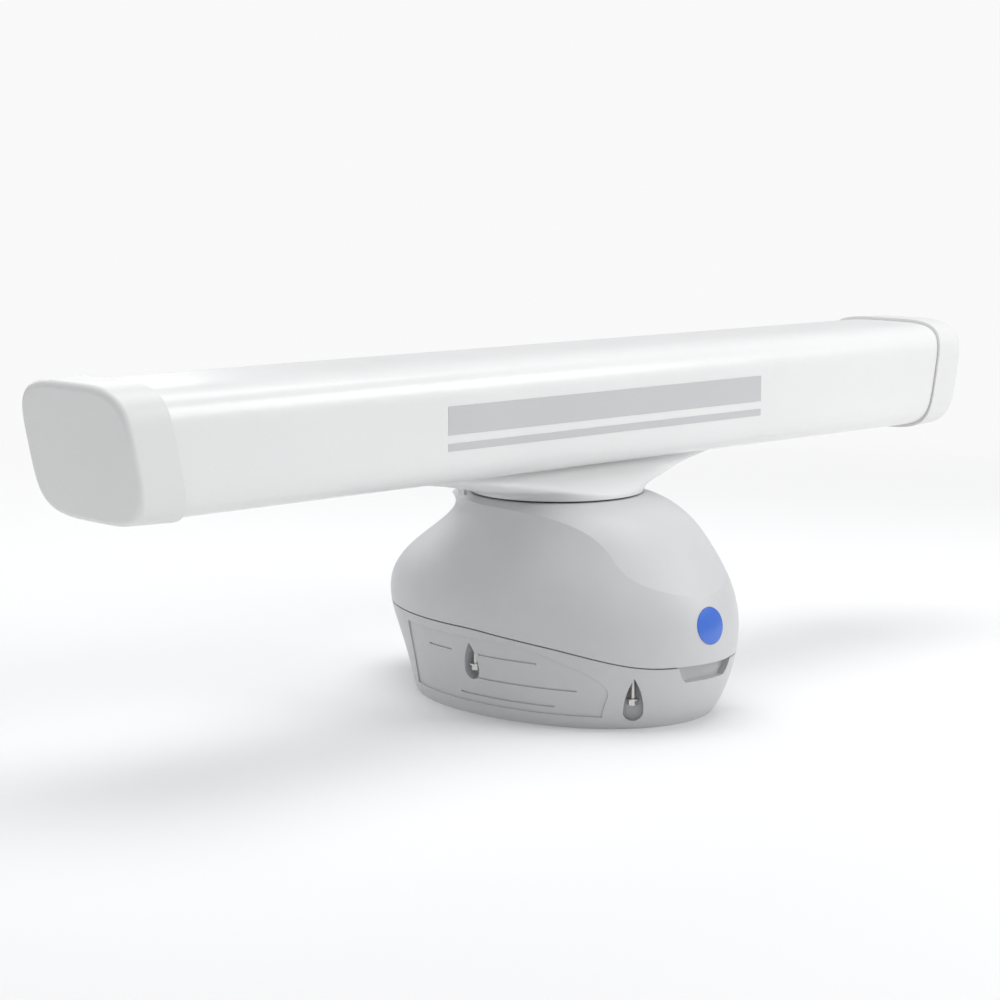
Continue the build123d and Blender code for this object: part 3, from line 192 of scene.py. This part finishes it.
def painted(name, colour, roughness=0.42, peel=0.0011, peel_height=0.00003, edge=0.0007):
    """Powder coat on a casting: fine orange peel, faint cloudiness, brighter worn edges."""
    look = Look(name, colour, roughness)
    edges = look.soft_edges(edge)
    look.tint(look.ramp(look.noise(0.09, 4), 0.42, 0.7), shade(colour, 0.93), 0.55)
    rub = look.maths("MULTIPLY", edges, look.ramp(look.noise(0.012, 4), 0.45, 0.62))
    look.tint(rub, shade(colour, 1.12), 0.55)
    patches = look.ramp(look.noise(0.03, 6), 0.55, 0.8)
    specks = look.ramp(look.noise(0.0025, 3), 0.5, 0.7)
    look.tint(look.maths("MULTIPLY", patches, specks), shade(colour, 0.8), 0.25)
    look.vary_roughness(look.noise(0.02, 3), 0.12)
    look.bump(look.noise(peel, 2), peel_height, 0.55)
    look.bump(look.noise(0.012, 2), peel_height * 4, 0.18)
    return look.set(Specular_IOR_Level=0.45).finish()


def moulded(name, colour, roughness, grain, grain_height, coat=0.0, edge=0.0006):
    """Moulded plastic: fine grain, slight sink marks, specks of dust."""
    look = Look(name, colour, roughness)
    look.soft_edges(edge)
    look.tint(look.ramp(look.noise(0.16, 4), 0.4, 0.75), shade(colour, 0.955), 0.6)
    look.tint(look.ramp(look.noise(0.004, 5), 0.58, 0.72), shade(colour, 0.90), 0.22)
    look.vary_roughness(look.noise(0.03, 4), 0.14)
    look.bump(look.noise(grain, 2), grain_height, 0.5)
    look.bump(look.noise(0.05, 1), grain_height * 9, 0.12)
    return look.set(Coat_Weight=coat, Coat_Roughness=0.18).finish()


def metal(name, colour, roughness, stretch=(1, 1, 1), size=0.0006, depth=0.00001, edge=0.0003, stain=0.25):
    """Bare metal: fine lay marks along stretch, uneven sheen and bright edges."""
    look = Look(name, colour, roughness, 1.0)
    edges = look.soft_edges(edge)
    lay = look.noise(size, 3, stretch)
    look.vary_roughness(lay, 0.22)
    look.tint(look.ramp(look.noise(0.014, 5), 0.5, 0.75), shade(colour, 0.72), stain)
    look.tint(edges, shade(colour, 1.18), 0.5)
    look.bump(lay, depth, 0.6)
    return look.finish()


def turned(name, colour, roughness):
    """Lathe-turned metal with fine rings about the upright axis."""
    look = Look(name, colour, roughness, 1.0)
    edges = look.soft_edges(0.0003)
    marks = look.bands(0.0022, "Z", 0.6)
    look.vary_roughness(marks, 0.16)
    look.tint(look.ramp(look.noise(0.02, 4), 0.5, 0.8), shade(colour, 0.7), 0.3)
    look.tint(edges, shade(colour, 1.2), 0.5)
    look.bump(marks, 0.00001, 0.5)
    return look.set(Anisotropic=0.4).finish()


def cast(name, colour):
    """As-cast aluminium: pebbled skin with machined-bright edges."""
    look = Look(name, colour, 0.55, 1.0)
    edges = look.soft_edges(0.0006)
    pebble = look.noise(0.0016, 5)
    look.tint(look.ramp(look.noise(0.01, 5), 0.45, 0.75), shade(colour, 0.75), 0.5)
    look.tint(edges, (0.86, 0.86, 0.87), 0.6)
    look.vary_roughness(pebble, 0.3)
    look.bump(pebble, 0.00018, 0.6)
    return look.finish()


def rubber(name, colour):
    """Matt elastomer with a dusty bloom."""
    look = Look(name, colour, 0.78)
    look.soft_edges(0.0004)
    look.tint(look.ramp(look.noise(0.006, 5), 0.5, 0.75), tuple(c + 0.06 for c in colour), 0.6)
    look.vary_roughness(look.noise(0.003, 3), 0.2)
    look.bump(look.noise(0.0009, 4), 0.00005, 0.6)
    return look.finish()


def circuit(name, colour):
    """Solder mask over copper: tracks, vias and a faint glass weave."""
    look = Look(name, colour, 0.32)
    look.soft_edges(0.0002)
    track = look.maths("MULTIPLY", look.ramp(look.bands(0.010, "X", 3.5), 0.62, 0.7),
                       look.ramp(look.noise(0.03, 1), 0.42, 0.5))
    across = look.maths("MULTIPLY", look.ramp(look.bands(0.012, "Y", 3.0), 0.66, 0.73),
                        look.ramp(look.noise(0.025, 1, (1, 1.3, 1)), 0.5, 0.56))
    look.tint(track, (0.10, 0.36, 0.15), 0.75)
    look.tint(across, (0.08, 0.32, 0.13), 0.75)
    vias = look.ramp(look.cells(0.0065), 0.16, 0.10)
    look.tint(vias, (0.80, 0.66, 0.36), 0.9)
    look.vary_roughness(look.noise(0.01, 3), 0.12)
    look.bump(look.maths("MAXIMUM", track, across), 0.00006, 0.7)
    look.bump(look.bands(0.0016, "DIAGONAL"), 0.00001, 0.3)
    return look.set(Coat_Weight=0.3, Coat_Roughness=0.2).finish()


def winding(name, colour):
    """Enamelled copper wire laid in turns, with painted shade in the grooves between them."""
    look = Look(name, colour, 0.3, 0.9)
    turns = look.bands(0.006, "Z", 0.4)
    # the grooves between turns are darkened: painted shade in the gaps between the wires
    look.tint(look.ramp(turns, 0.2, 0.5, 1.0, 0.0), shade(colour, 0.4), 0.7)
    look.tint(look.ramp(look.noise(0.01, 4), 0.5, 0.75), shade(colour, 0.6), 0.4)
    look.vary_roughness(look.noise(0.003, 3), 0.15)
    look.bump(turns, 0.0003, 0.8)
    return look.set(Coat_Weight=0.6, Coat_Roughness=0.12).finish()


def foam(name, colour):
    """Closed-cell foam with its bubbles cut open, and painted shade inside the open bubbles."""
    look = Look(name, colour, 0.9)
    bubbles = look.cells(0.0022)
    # the cut-open bubbles are darkened towards their middles: painted shade in the pits
    look.tint(look.ramp(bubbles, 0.1, 0.5, 1.0, 0.0), shade(colour, 0.8), 0.6)
    look.tint(look.ramp(look.noise(0.02, 4), 0.5, 0.8), shade(colour, 0.88), 0.4)
    look.vary_roughness(look.noise(0.004, 3), 0.1)
    look.bump(bubbles, 0.0004, 0.7)
    return look.finish()


COVER_GREY = (0.60, 0.605, 0.615)
HOUSING_GREY = (0.58, 0.585, 0.595)
TURNTABLE_WHITE = (0.78, 0.78, 0.78)
RADOME_WHITE = (0.80, 0.80, 0.797)
CAP_WHITE = (0.765, 0.765, 0.76)
STRIPE_GREY = (0.56, 0.565, 0.57)
BADGE_BLUE = (0.035, 0.145, 0.62)
STAINLESS = (0.66, 0.65, 0.63)
MILLED = (0.76, 0.77, 0.78)
BRASS = (0.72, 0.53, 0.24)
# what each material slot of the record looks like
FINISHES = {
    "cover_paint": (painted, "satin_grey_coat", COVER_GREY, {}),
    "housing_paint": (painted, "satin_lower_grey_coat", HOUSING_GREY, {}),
    "turntable_paint": (painted, "white_coat", TURNTABLE_WHITE, {}),
    "radome_plastic": (moulded, "radome_white", RADOME_WHITE, dict(
        roughness=0.34, grain=0.0012, grain_height=0.00001, coat=0.25)),
    "cap_plastic": (moulded, "cap_white", CAP_WHITE, dict(
        roughness=0.46, grain=0.0009, grain_height=0.00003, coat=0.1)),
    "stripe_film": (moulded, "grey_stripe_film", STRIPE_GREY, dict(
        roughness=0.4, grain=0.0010, grain_height=0.00001, coat=0.1, edge=0.0002)),
    "badge_blue": (moulded, "blue_enamel", BADGE_BLUE, dict(
        roughness=0.25, grain=0.0014, grain_height=0.000008, coat=0.6)),
    "seal_rubber": (rubber, "black_rubber", (0.02, 0.02, 0.02), {}),
    "grey_rubber": (rubber, "grey_seal", (0.22, 0.22, 0.22), {}),
    "stainless": (metal, "stainless", STAINLESS, dict(roughness=0.30, stretch=(1, 1, 0.12))),
    "steel": (turned, "turned_steel", (0.50, 0.50, 0.51), dict(roughness=0.32)),
    "bearing_steel": (turned, "ground_steel", (0.72, 0.72, 0.73), dict(roughness=0.14)),
    "aluminium": (metal, "milled_aluminium", MILLED, dict(roughness=0.36, stretch=(0.05, 1, 1), size=0.0008)),
    "cast_aluminium": (cast, "cast_aluminium", (0.56, 0.565, 0.57), {}),
    "brass": (metal, "brass", BRASS, dict(roughness=0.28, stretch=(1, 1, 0.3))),
    "board": (circuit, "solder_mask", (0.012, 0.14, 0.055), {}),
    "black_plastic": (moulded, "black_plastic", (0.025, 0.025, 0.027), dict(
        roughness=0.48, grain=0.0007, grain_height=0.00004)),
    "cage_plastic": (moulded, "polyamide", (0.72, 0.62, 0.38), dict(
        roughness=0.45, grain=0.0008, grain_height=0.00003)),
    "magnet": (rubber, "sintered_magnet", (0.09, 0.09, 0.10), {}),
    "copper": (winding, "copper_winding", (0.72, 0.33, 0.16), {}),
    "foam": (foam, "closed_cell_foam", (0.80, 0.78, 0.72), {}),
    # small parts that only the visual model has
    "board_black": (moulded, "epoxy_black", (0.018, 0.018, 0.02), dict(
        roughness=0.4, grain=0.0005, grain_height=0.00002)),
    "can_metal": (metal, "capacitor_can", (0.74, 0.75, 0.76), dict(roughness=0.3)),
    "wire_grey": (rubber, "cable_jacket", (0.10, 0.10, 0.105), {}),
    "wire_red": (moulded, "red_insulation", (0.45, 0.03, 0.02), dict(
        roughness=0.4, grain=0.001, grain_height=0.00001)),
    "connector_white": (moulded, "nylon_connector", (0.75, 0.73, 0.66), dict(
        roughness=0.5, grain=0.0008, grain_height=0.00002)),
}
MATERIALS = {}
for slot, (make, name, colour, settings) in FINISHES.items():
    MATERIALS[slot] = make(name, colour, **settings)


def dress_nodes():
    """Give every CAD node the finish its record slot names."""
    slots = {entry["node"]: entry["material_slot"] for entry in frame["record"]["subparts"]}
    for name, node in NODES.items():
        material = MATERIALS[slots[name]]
        if not node.material_slots:
            node.data.materials.append(material)
        for place in node.material_slots:
            place.material = material


# ---- mesh building ---------------------------------------------------------------------------
def new_piece(name, mesh, material, body):
    mesh.materials.append(MATERIALS[material])
    piece = bpy.data.objects.new(name, mesh)
    bpy.context.scene.collection.objects.link(piece)
    if body:
        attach(piece, body)
    return piece


def mesh_from(shape, name, smooth_below=35):
    """Turn a bmesh into a mesh, smooth except across sharp edges."""
    limit = math.radians(smooth_below)
    for face in shape.faces:
        face.smooth = True
    for edge in shape.edges:
        sharp = len(edge.link_faces) == 2 and edge.calc_face_angle(0) > limit
        edge.smooth = not sharp
    mesh = bpy.data.meshes.new(name)
    shape.to_mesh(mesh)
    shape.free()
    return mesh


def add_block(shape, centre, size, bevel=0.0004, turn=0.0):
    """Box with all its edges rounded."""
    grown = bmesh.ops.create_cube(shape, size=1.0)["verts"]
    bmesh.ops.scale(shape, verts=grown, vec=Vector(size))
    bmesh.ops.rotate(shape, verts=grown, cent=(0, 0, 0), matrix=Matrix.Rotation(turn, 3, "Z"))
    bmesh.ops.translate(shape, verts=grown, vec=Vector(centre))
    edges = {edge for vert in grown for edge in vert.link_edges}
    bmesh.ops.bevel(shape, geom=list(edges), offset=bevel, segments=2, profile=0.6, affect="EDGES")


def add_turned(shape, centre, outline, sides=24, axis="Z"):
    """Solid of revolution from (radius, height) points, closed at both ends."""
    basis = Matrix.Identity(3)
    if axis == "Y":
        basis = Matrix.Rotation(-math.pi / 2, 3, "X")
    rings = []
    for radius, height in outline:
        ring = []
        for step in range(sides):
            angle = 2 * math.pi * step / sides
            point = Vector((radius * math.cos(angle), radius * math.sin(angle), height))
            ring.append(shape.verts.new(basis @ point + Vector(centre)))
        rings.append(ring)
    for low, high in zip(rings, rings[1:]):
        for step in range(sides):
            after = (step + 1) % sides
            shape.faces.new((low[step], low[after], high[after], high[step]))
    shape.faces.new(list(reversed(rings[0])))
    shape.faces.new(rings[-1])


def add_tube(shape, path, radius, sides=10):
    """Round cable along a list of points, closed at both ends."""
    rings = []
    side = Vector((1, 0, 0))
    for index, point in enumerate(path):
        ahead = path[min(index + 1, len(path) - 1)] - path[max(index - 1, 0)]
        ahead.normalize()
        side = (side - ahead * side.dot(ahead)).normalized()
        over = ahead.cross(side)
        ring = []
        for step in range(sides):
            angle = 2 * math.pi * step / sides
            offset = side * math.cos(angle) + over * math.sin(angle)
            ring.append(shape.verts.new(point + offset * radius))
        rings.append(ring)
    for low, high in zip(rings, rings[1:]):
        for step in range(sides):
            after = (step + 1) % sides
            shape.faces.new((low[step], low[after], high[after], high[step]))
    shape.faces.new(list(reversed(rings[0])))
    shape.faces.new(rings[-1])


def smooth_path(points, steps=10):
    """Catmull-Rom curve through points."""
    points = [Vector(p) for p in points]
    padded = [points[0] * 2 - points[1]] + points + [points[-1] * 2 - points[-2]]
    path = []
    for a, b, c, d in zip(padded, padded[1:], padded[2:], padded[3:]):
        for step in range(steps):
            t = step / steps
            path.append(0.5 * ((2 * b) + (c - a) * t + (2 * a - 5 * b + 4 * c - d) * t ** 2
                               + (3 * b - a - 3 * c + d) * t ** 3))
    path.append(points[-1])
    return path


# ---- what sits on the circuit boards ----------------------------------------------------------
CHIP_STANDS_OFF = 0.4 * MM
LEGS_A_SIDE = 8
LEG_ROW = 0.95
LEG_REACH = 0.54
LEG_HEIGHT = 0.5 * MM
LEG_SIZE = (0.7 * MM, 0.7 * MM, 0.8 * MM)
SINK_FOOT = 3 * MM
SINK_FINS = 7
FIN_THICK = 1.4 * MM
PLUG_DEPTH = 0.45
PLUG_PINS = 4
PLUG_PITCH = 1 / 4.6
PLUG_RIB_OUT = 0.235


def capacitor_outline(radius, high):
    """Electrolytic can: crimp near the foot, rolled rim at the top."""
    rim = radius * 0.1
    return [
        (radius * 0.92, 0), (radius, rim), (radius, high * 0.1), (radius * 0.9, high * 0.14),
        (radius, high * 0.18), (radius, high - rim), (radius * 0.94, high), (radius * 0.86, high - rim / 2),
    ]


def coil_outline(radius, high):
    """Choke with a waist half way up."""
    waist = radius * 0.84
    return [(radius, 0), (radius, high * 0.3), (waist, high * 0.5), (radius, high * 0.7), (radius, high)]


def add_standing(shape, centre, outline, face):
    """Solid of revolution that stands on a board's top or hangs from its underside."""
    flipped = [(radius, face * height) for radius, height in outline]
    add_turned(shape, centre, flipped if face > 0 else flipped[::-1])


def lift(distance, face):
    return Vector((0, 0, face * distance))


def add_chip(bodies, legs, centre, size, tall, face):
    add_block(bodies, centre + lift(tall / 2 + CHIP_STANDS_OFF, face), (size, size, tall), 0.3 * MM)
    for step in range(LEGS_A_SIDE):
        along = (step - (LEGS_A_SIDE - 1) / 2) * size / LEGS_A_SIDE * LEG_ROW
        for way in (-1, 1):
            out = way * size * LEG_REACH
            for place in ((along, out), (out, along)):
                add_block(legs, centre + Vector((*place, face * LEG_HEIGHT)), LEG_SIZE, 0.1 * MM)


def add_heat_sink(shape, centre, size, tall, face):
    depth = size * 0.5
    add_block(shape, centre + lift(SINK_FOOT / 2, face), (size, depth, SINK_FOOT), 0.3 * MM)
    for step in range(SINK_FINS):
        along = Vector(((step - SINK_FINS // 2) * size / SINK_FINS, 0, 0))
        add_block(shape, centre + along + lift(tall / 2, face), (FIN_THICK, depth, tall), 0.3 * MM)


def add_plug(shape, centre, size, tall, face):
    add_block(shape, centre + lift(tall / 2, face), (size, size * PLUG_DEPTH, tall), 0.5 * MM)
    for step in range(PLUG_PINS):
        along = (step - (PLUG_PINS - 1) / 2) * size * PLUG_PITCH
        rib = centre + Vector((along, -size * PLUG_RIB_OUT, face * tall * 0.6))
        add_block(shape, rib, (size / 7, 1.2 * MM, tall * 0.5), 0.3 * MM)


def populate(board, body, face, spots):
    """Parts on a board; face is +1 for its top and -1 for its underside."""
    low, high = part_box(board)
    ground = high.z if face > 0 else low.z
    middle = (low + high) / 2
    cans, bodies, metal_parts, plugs = bmesh.new(), bmesh.new(), bmesh.new(), bmesh.new()
    for kind, x, y, size, tall in spots:
        centre = Vector((middle.x + x * MM, middle.y + y * MM, ground))
        size, tall = size * MM, tall * MM
        if kind == "can":
            add_standing(cans, centre, capacitor_outline(size / 2, tall), face)
        elif kind == "coil":
            add_standing(bodies, centre, coil_outline(size / 2, tall), face)
        elif kind == "chip":
            add_chip(bodies, metal_parts, centre, size, tall, face)
        elif kind == "sink":
            add_heat_sink(metal_parts, centre, size, tall, face)
        else:
            add_plug(plugs, centre, size, tall, face)
    for shape, name, material, slot in ((cans, "capacitors", "can_metal", "aluminium"),
                                        (bodies, "chips", "board_black", "black_plastic"),
                                        (metal_parts, "contacts", "can_metal", "aluminium"),
                                        (plugs, "connectors", "connector_white", "cage_plastic")):
        if shape.faces:
            new_piece(f"{board}_{name}", mesh_from(shape, name), material, body)
        else:
            shape.free()


# kind, x and y from the board's middle, size and height, in millimetres
POWER_SPOTS = [
    ("can", -40, 38, 18, 30), ("can", -18, 38, 18, 30), ("can", 4, 38, 18, 30),
    ("coil", 34, 36, 24, 14), ("sink", 28, 2, 40, 24), ("chip", -34, 4, 12, 1.6),
    ("chip", -10, 2, 9, 1.4), ("coil", -36, -26, 16, 12), ("can", -14, -24, 10, 18),
    ("can", 0, -24, 10, 18), ("chip", 18, -26, 7, 1.2), ("plug", 36, -40, 22, 9),
    ("plug", 8, -44, 16, 9), ("plug", -30, -46, 22, 9),
]
DRIVER_SPOTS = [
    ("chip", 0, 4, 14, 1.6), ("sink", -30, 8, 34, 20), ("can", 30, 20, 12, 20),
    ("can", 44, 20, 12, 20), ("chip", 26, -6, 8, 1.3), ("chip", 40, -8, 8, 1.3),
    ("plug", -30, -32, 24, 9), ("plug", 2, -34, 20, 9), ("plug", 34, -32, 16, 9),
    ("coil", 44, 2, 9, 7), ("plug", 0, 32, 36, 9),
]
TRANSCEIVER_SPOTS = [
    ("chip", 0, 20, 18, 1.8), ("chip", -32, 24, 12, 1.5), ("chip", 32, 22, 12, 1.5),
    ("coil", -34, -8, 12, 7), ("can", 34, -8, 9, 10), ("chip", 0, -18, 14, 1.6),
    ("plug", -30, -60, 22, 8), ("plug", 14, -62, 20, 8), ("chip", 30, -38, 9, 1.3),
    ("chip", -12, 52, 10, 1.3), ("chip", 26, 56, 10, 1.3),
]


# ---- cables between the foot and the cover -----------------------------------------------------
CABLES = (("wire_grey", 3.0 * MM), ("wire_red", 1.7 * MM), ("wire_grey", 2.4 * MM))
CABLE_PITCH = 12 * MM
CABLE_GATHER = 0.8
GLAND = [(5.2 * MM, 0), (5.6 * MM, 1 * MM), (5.6 * MM, 4 * MM), (4.4 * MM, 5.2 * MM), (4.4 * MM, 8 * MM),
         (3.4 * MM, 9 * MM)]
GLAND_SIDES = 20
PLUG_FROM_EDGE = 13 * MM
ENTRY_RISE = 18 * MM


def cable_path(x, start, hinge, entry):
    """Up from the board's plug, in a slack loop past the hinge, and into the transceiver's gland."""
    inner = x * CABLE_GATHER
    return smooth_path([
        (x, start.y, start.z + 8 * MM),
        (x, start.y + 5 * MM, start.z + 22 * MM),
        (inner, hinge.y - 72 * MM, hinge.z - 44 * MM),
        (inner, hinge.y - 60 * MM, hinge.z - 12 * MM),
        (inner, hinge.y - 62 * MM, hinge.z + 10 * MM),
        (x, hinge.y - 84 * MM, hinge.z + 20 * MM),
        (x, entry.y + 44 * MM, hinge.z + 14 * MM),
        (x, entry.y + 18 * MM, entry.z + 1 * MM),
        (x, entry.y + 1 * MM, entry.z),
    ])


def cover_harness():
    """Cables from the lower housing past the hinge to the transceiver, with slack for opening."""
    _, board_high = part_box("motor_driver_board")
    case_low, case_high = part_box("transceiver_case")
    hinge = Vector(next(j for j in frame["joints"] if j["name"] == "cover_hinge")["pos_m"])
    start = Vector((0, board_high.y - PLUG_FROM_EDGE, board_high.z))
    entry = Vector((0, case_high.y, case_low.z + ENTRY_RISE))
    collars = bmesh.new()
    for index, (material, radius) in enumerate(CABLES):
        x = (index - 1) * CABLE_PITCH
        shape = bmesh.new()
        add_tube(shape, cable_path(x, start, hinge, entry), radius)
        mesh = mesh_from(shape, "harness")
        cable = new_piece(f"cover_harness_{index + 1}", mesh, material, None)
        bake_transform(cable)
        add_turned(collars, (x, entry.y, entry.z), GLAND, GLAND_SIDES, "Y")
    new_piece("cable_glands", mesh_from(collars, "glands"), "board_black", "cover")


# ---- studio ----------------------------------------------------------------------------------
AIR_LIGHT = 0.5
AIR_SEEN = 0.95
AIR_COLOUR = (0.97, 0.98, 1.0, 1)
LIT_POINT = (0, 0, 0.25)
# name, place, width and height in metres, power in watts
LIGHTS = [
    ("key_softbox", (1.9, -2.6, 1.9), (1.8, 1.4), 48),
    ("fill_softbox", (-2.8, -1.9, 1.5), (2.2, 1.6), 5),
    ("top_softbox", (0.2, 0.2, 3.0), (3.0, 2.2), 50),
    ("rear_softbox", (0.4, 3.0, 1.6), (2.6, 1.4), 18),
]
FLOOR_SIDES = 96
FLOOR_RINGS = (0.02, 2.0, 8.0, 30.0, 90.0)
FLOOR_GREY = (0.90, 0.90, 0.90)
FLOOR_CLOUD = (0.885, 0.885, 0.885)
FADE_FROM = 0.9
FADE_TO = 2.6

CAMERA_TURN = math.radians(-43.3)
CAMERA_LIFT = math.radians(8.47)
CAMERA_FAR = 2.650
CAMERA_TARGET = (-0.0473, 0.0446, 0.2234)
LENS = 83.5
SENSOR = 36


def area_light(name, place, size, power):
    data = bpy.data.lights.new(name, "AREA")
    data.shape = "RECTANGLE"
    data.size, data.size_y = size
    data.energy = power
    lamp = bpy.data.objects.new(name, data)
    lamp.location = place
    lamp.rotation_euler = (Vector(LIT_POINT) - Vector(place)).to_track_quat("-Z", "Y").to_euler()
    bpy.context.scene.collection.objects.link(lamp)


def studio_floor():
    """Wide pale floor, large enough to meet the white air at the horizon."""
    shape = bmesh.new()
    turns = [2 * math.pi * k / FLOOR_SIDES for k in range(FLOOR_SIDES)]
    rings = []
    for radius in FLOOR_RINGS:
        points = [(radius * math.cos(turn), radius * math.sin(turn), 0) for turn in turns]
        rings.append([shape.verts.new(point) for point in points])
    for low, high in zip(rings, rings[1:]):
        for k in range(FLOOR_SIDES):
            after = (k + 1) % FLOOR_SIDES
            shape.faces.new((low[k], low[after], high[after], high[k]))
    shape.faces.new(rings[0])
    mesh = mesh_from(shape, "studio_floor", 60)
    look = Look("studio_paper", FLOOR_GREY, 0.75)
    look.tint(look.ramp(look.noise(0.6, 3), 0.4, 0.7), FLOOR_CLOUD, 0.5)
    look.bump(look.noise(0.004, 3), 0.00004, 0.3)
    look.finish()
    fade_to_air(look)
    mesh.materials.append(look.material)
    floor = bpy.data.objects.new("studio_floor", mesh)
    bpy.context.scene.collection.objects.link(floor)


def fade_to_air(look):
    """Let the floor run into the air's own white away from the object, as the camera sees it."""
    reach = look.add("ShaderNodeVectorMath", operation="LENGTH")
    look.join(look.place, reach.inputs[0])
    far = look.add("ShaderNodeMapRange", interpolation_type="SMOOTHSTEP")
    far.inputs["From Min"].default_value = FADE_FROM
    far.inputs["From Max"].default_value = FADE_TO
    look.join(reach.outputs["Value"], far.inputs["Value"])
    seen = look.add("ShaderNodeLightPath").outputs["Is Camera Ray"]
    glow = look.add("ShaderNodeEmission")
    glow.inputs["Strength"].default_value = AIR_SEEN
    mixed = look.add("ShaderNodeMixShader")
    look.join(look.maths("MULTIPLY", far.outputs["Result"], seen), mixed.inputs["Fac"])
    look.join(look.shader.outputs["BSDF"], mixed.inputs[1])
    look.join(glow.outputs["Emission"], mixed.inputs[2])
    look.join(mixed.outputs["Shader"], look.tree.nodes["Material Output"].inputs["Surface"])


def studio():
    studio_floor()
    for name, place, size, power in LIGHTS:
        area_light(name, place, size, power)
    world = bpy.data.worlds.new("studio_air")
    world.use_nodes = True
    tree = world.node_tree
    air = tree.nodes["Background"]
    air.inputs["Color"].default_value = AIR_COLOUR
    air.inputs["Strength"].default_value = AIR_LIGHT
    seen = tree.nodes.new("ShaderNodeBackground")
    seen.inputs["Color"].default_value = (1, 1, 1, 1)
    seen.inputs["Strength"].default_value = AIR_SEEN
    either = tree.nodes.new("ShaderNodeMixShader")
    tree.links.new(tree.nodes.new("ShaderNodeLightPath").outputs["Is Camera Ray"], either.inputs["Fac"])
    tree.links.new(air.outputs["Background"], either.inputs[1])
    tree.links.new(seen.outputs["Background"], either.inputs[2])
    tree.links.new(either.outputs["Shader"], tree.nodes["World Output"].inputs["Surface"])
    bpy.context.scene.world = world
    bpy.context.scene.view_settings.view_transform = "Standard"
    bpy.context.scene.view_settings.look = "None"


def camera():
    """Long-lens view from in front of the nose's left side, a little above the bar."""
    level = math.cos(CAMERA_LIFT)
    back = Vector((math.sin(CAMERA_TURN) * level, -math.cos(CAMERA_TURN) * level, math.sin(CAMERA_LIFT)))
    data = bpy.data.cameras.new("photo_camera")
    data.lens = LENS
    data.sensor_width = SENSOR
    eye = bpy.data.objects.new("photo_camera", data)
    eye.location = Vector(CAMERA_TARGET) + back * CAMERA_FAR
    eye.rotation_euler = (-back).to_track_quat("-Z", "Y").to_euler()
    bpy.context.scene.collection.objects.link(eye)
    bpy.context.scene.camera = eye


dress_nodes()
populate("power_board", "base", 1, POWER_SPOTS)
populate("motor_driver_board", "base", 1, DRIVER_SPOTS)
populate("transceiver_board", "cover", 1, TRANSCEIVER_SPOTS)
cover_harness()
studio()
camera()
bpy.context.view_layer.update()
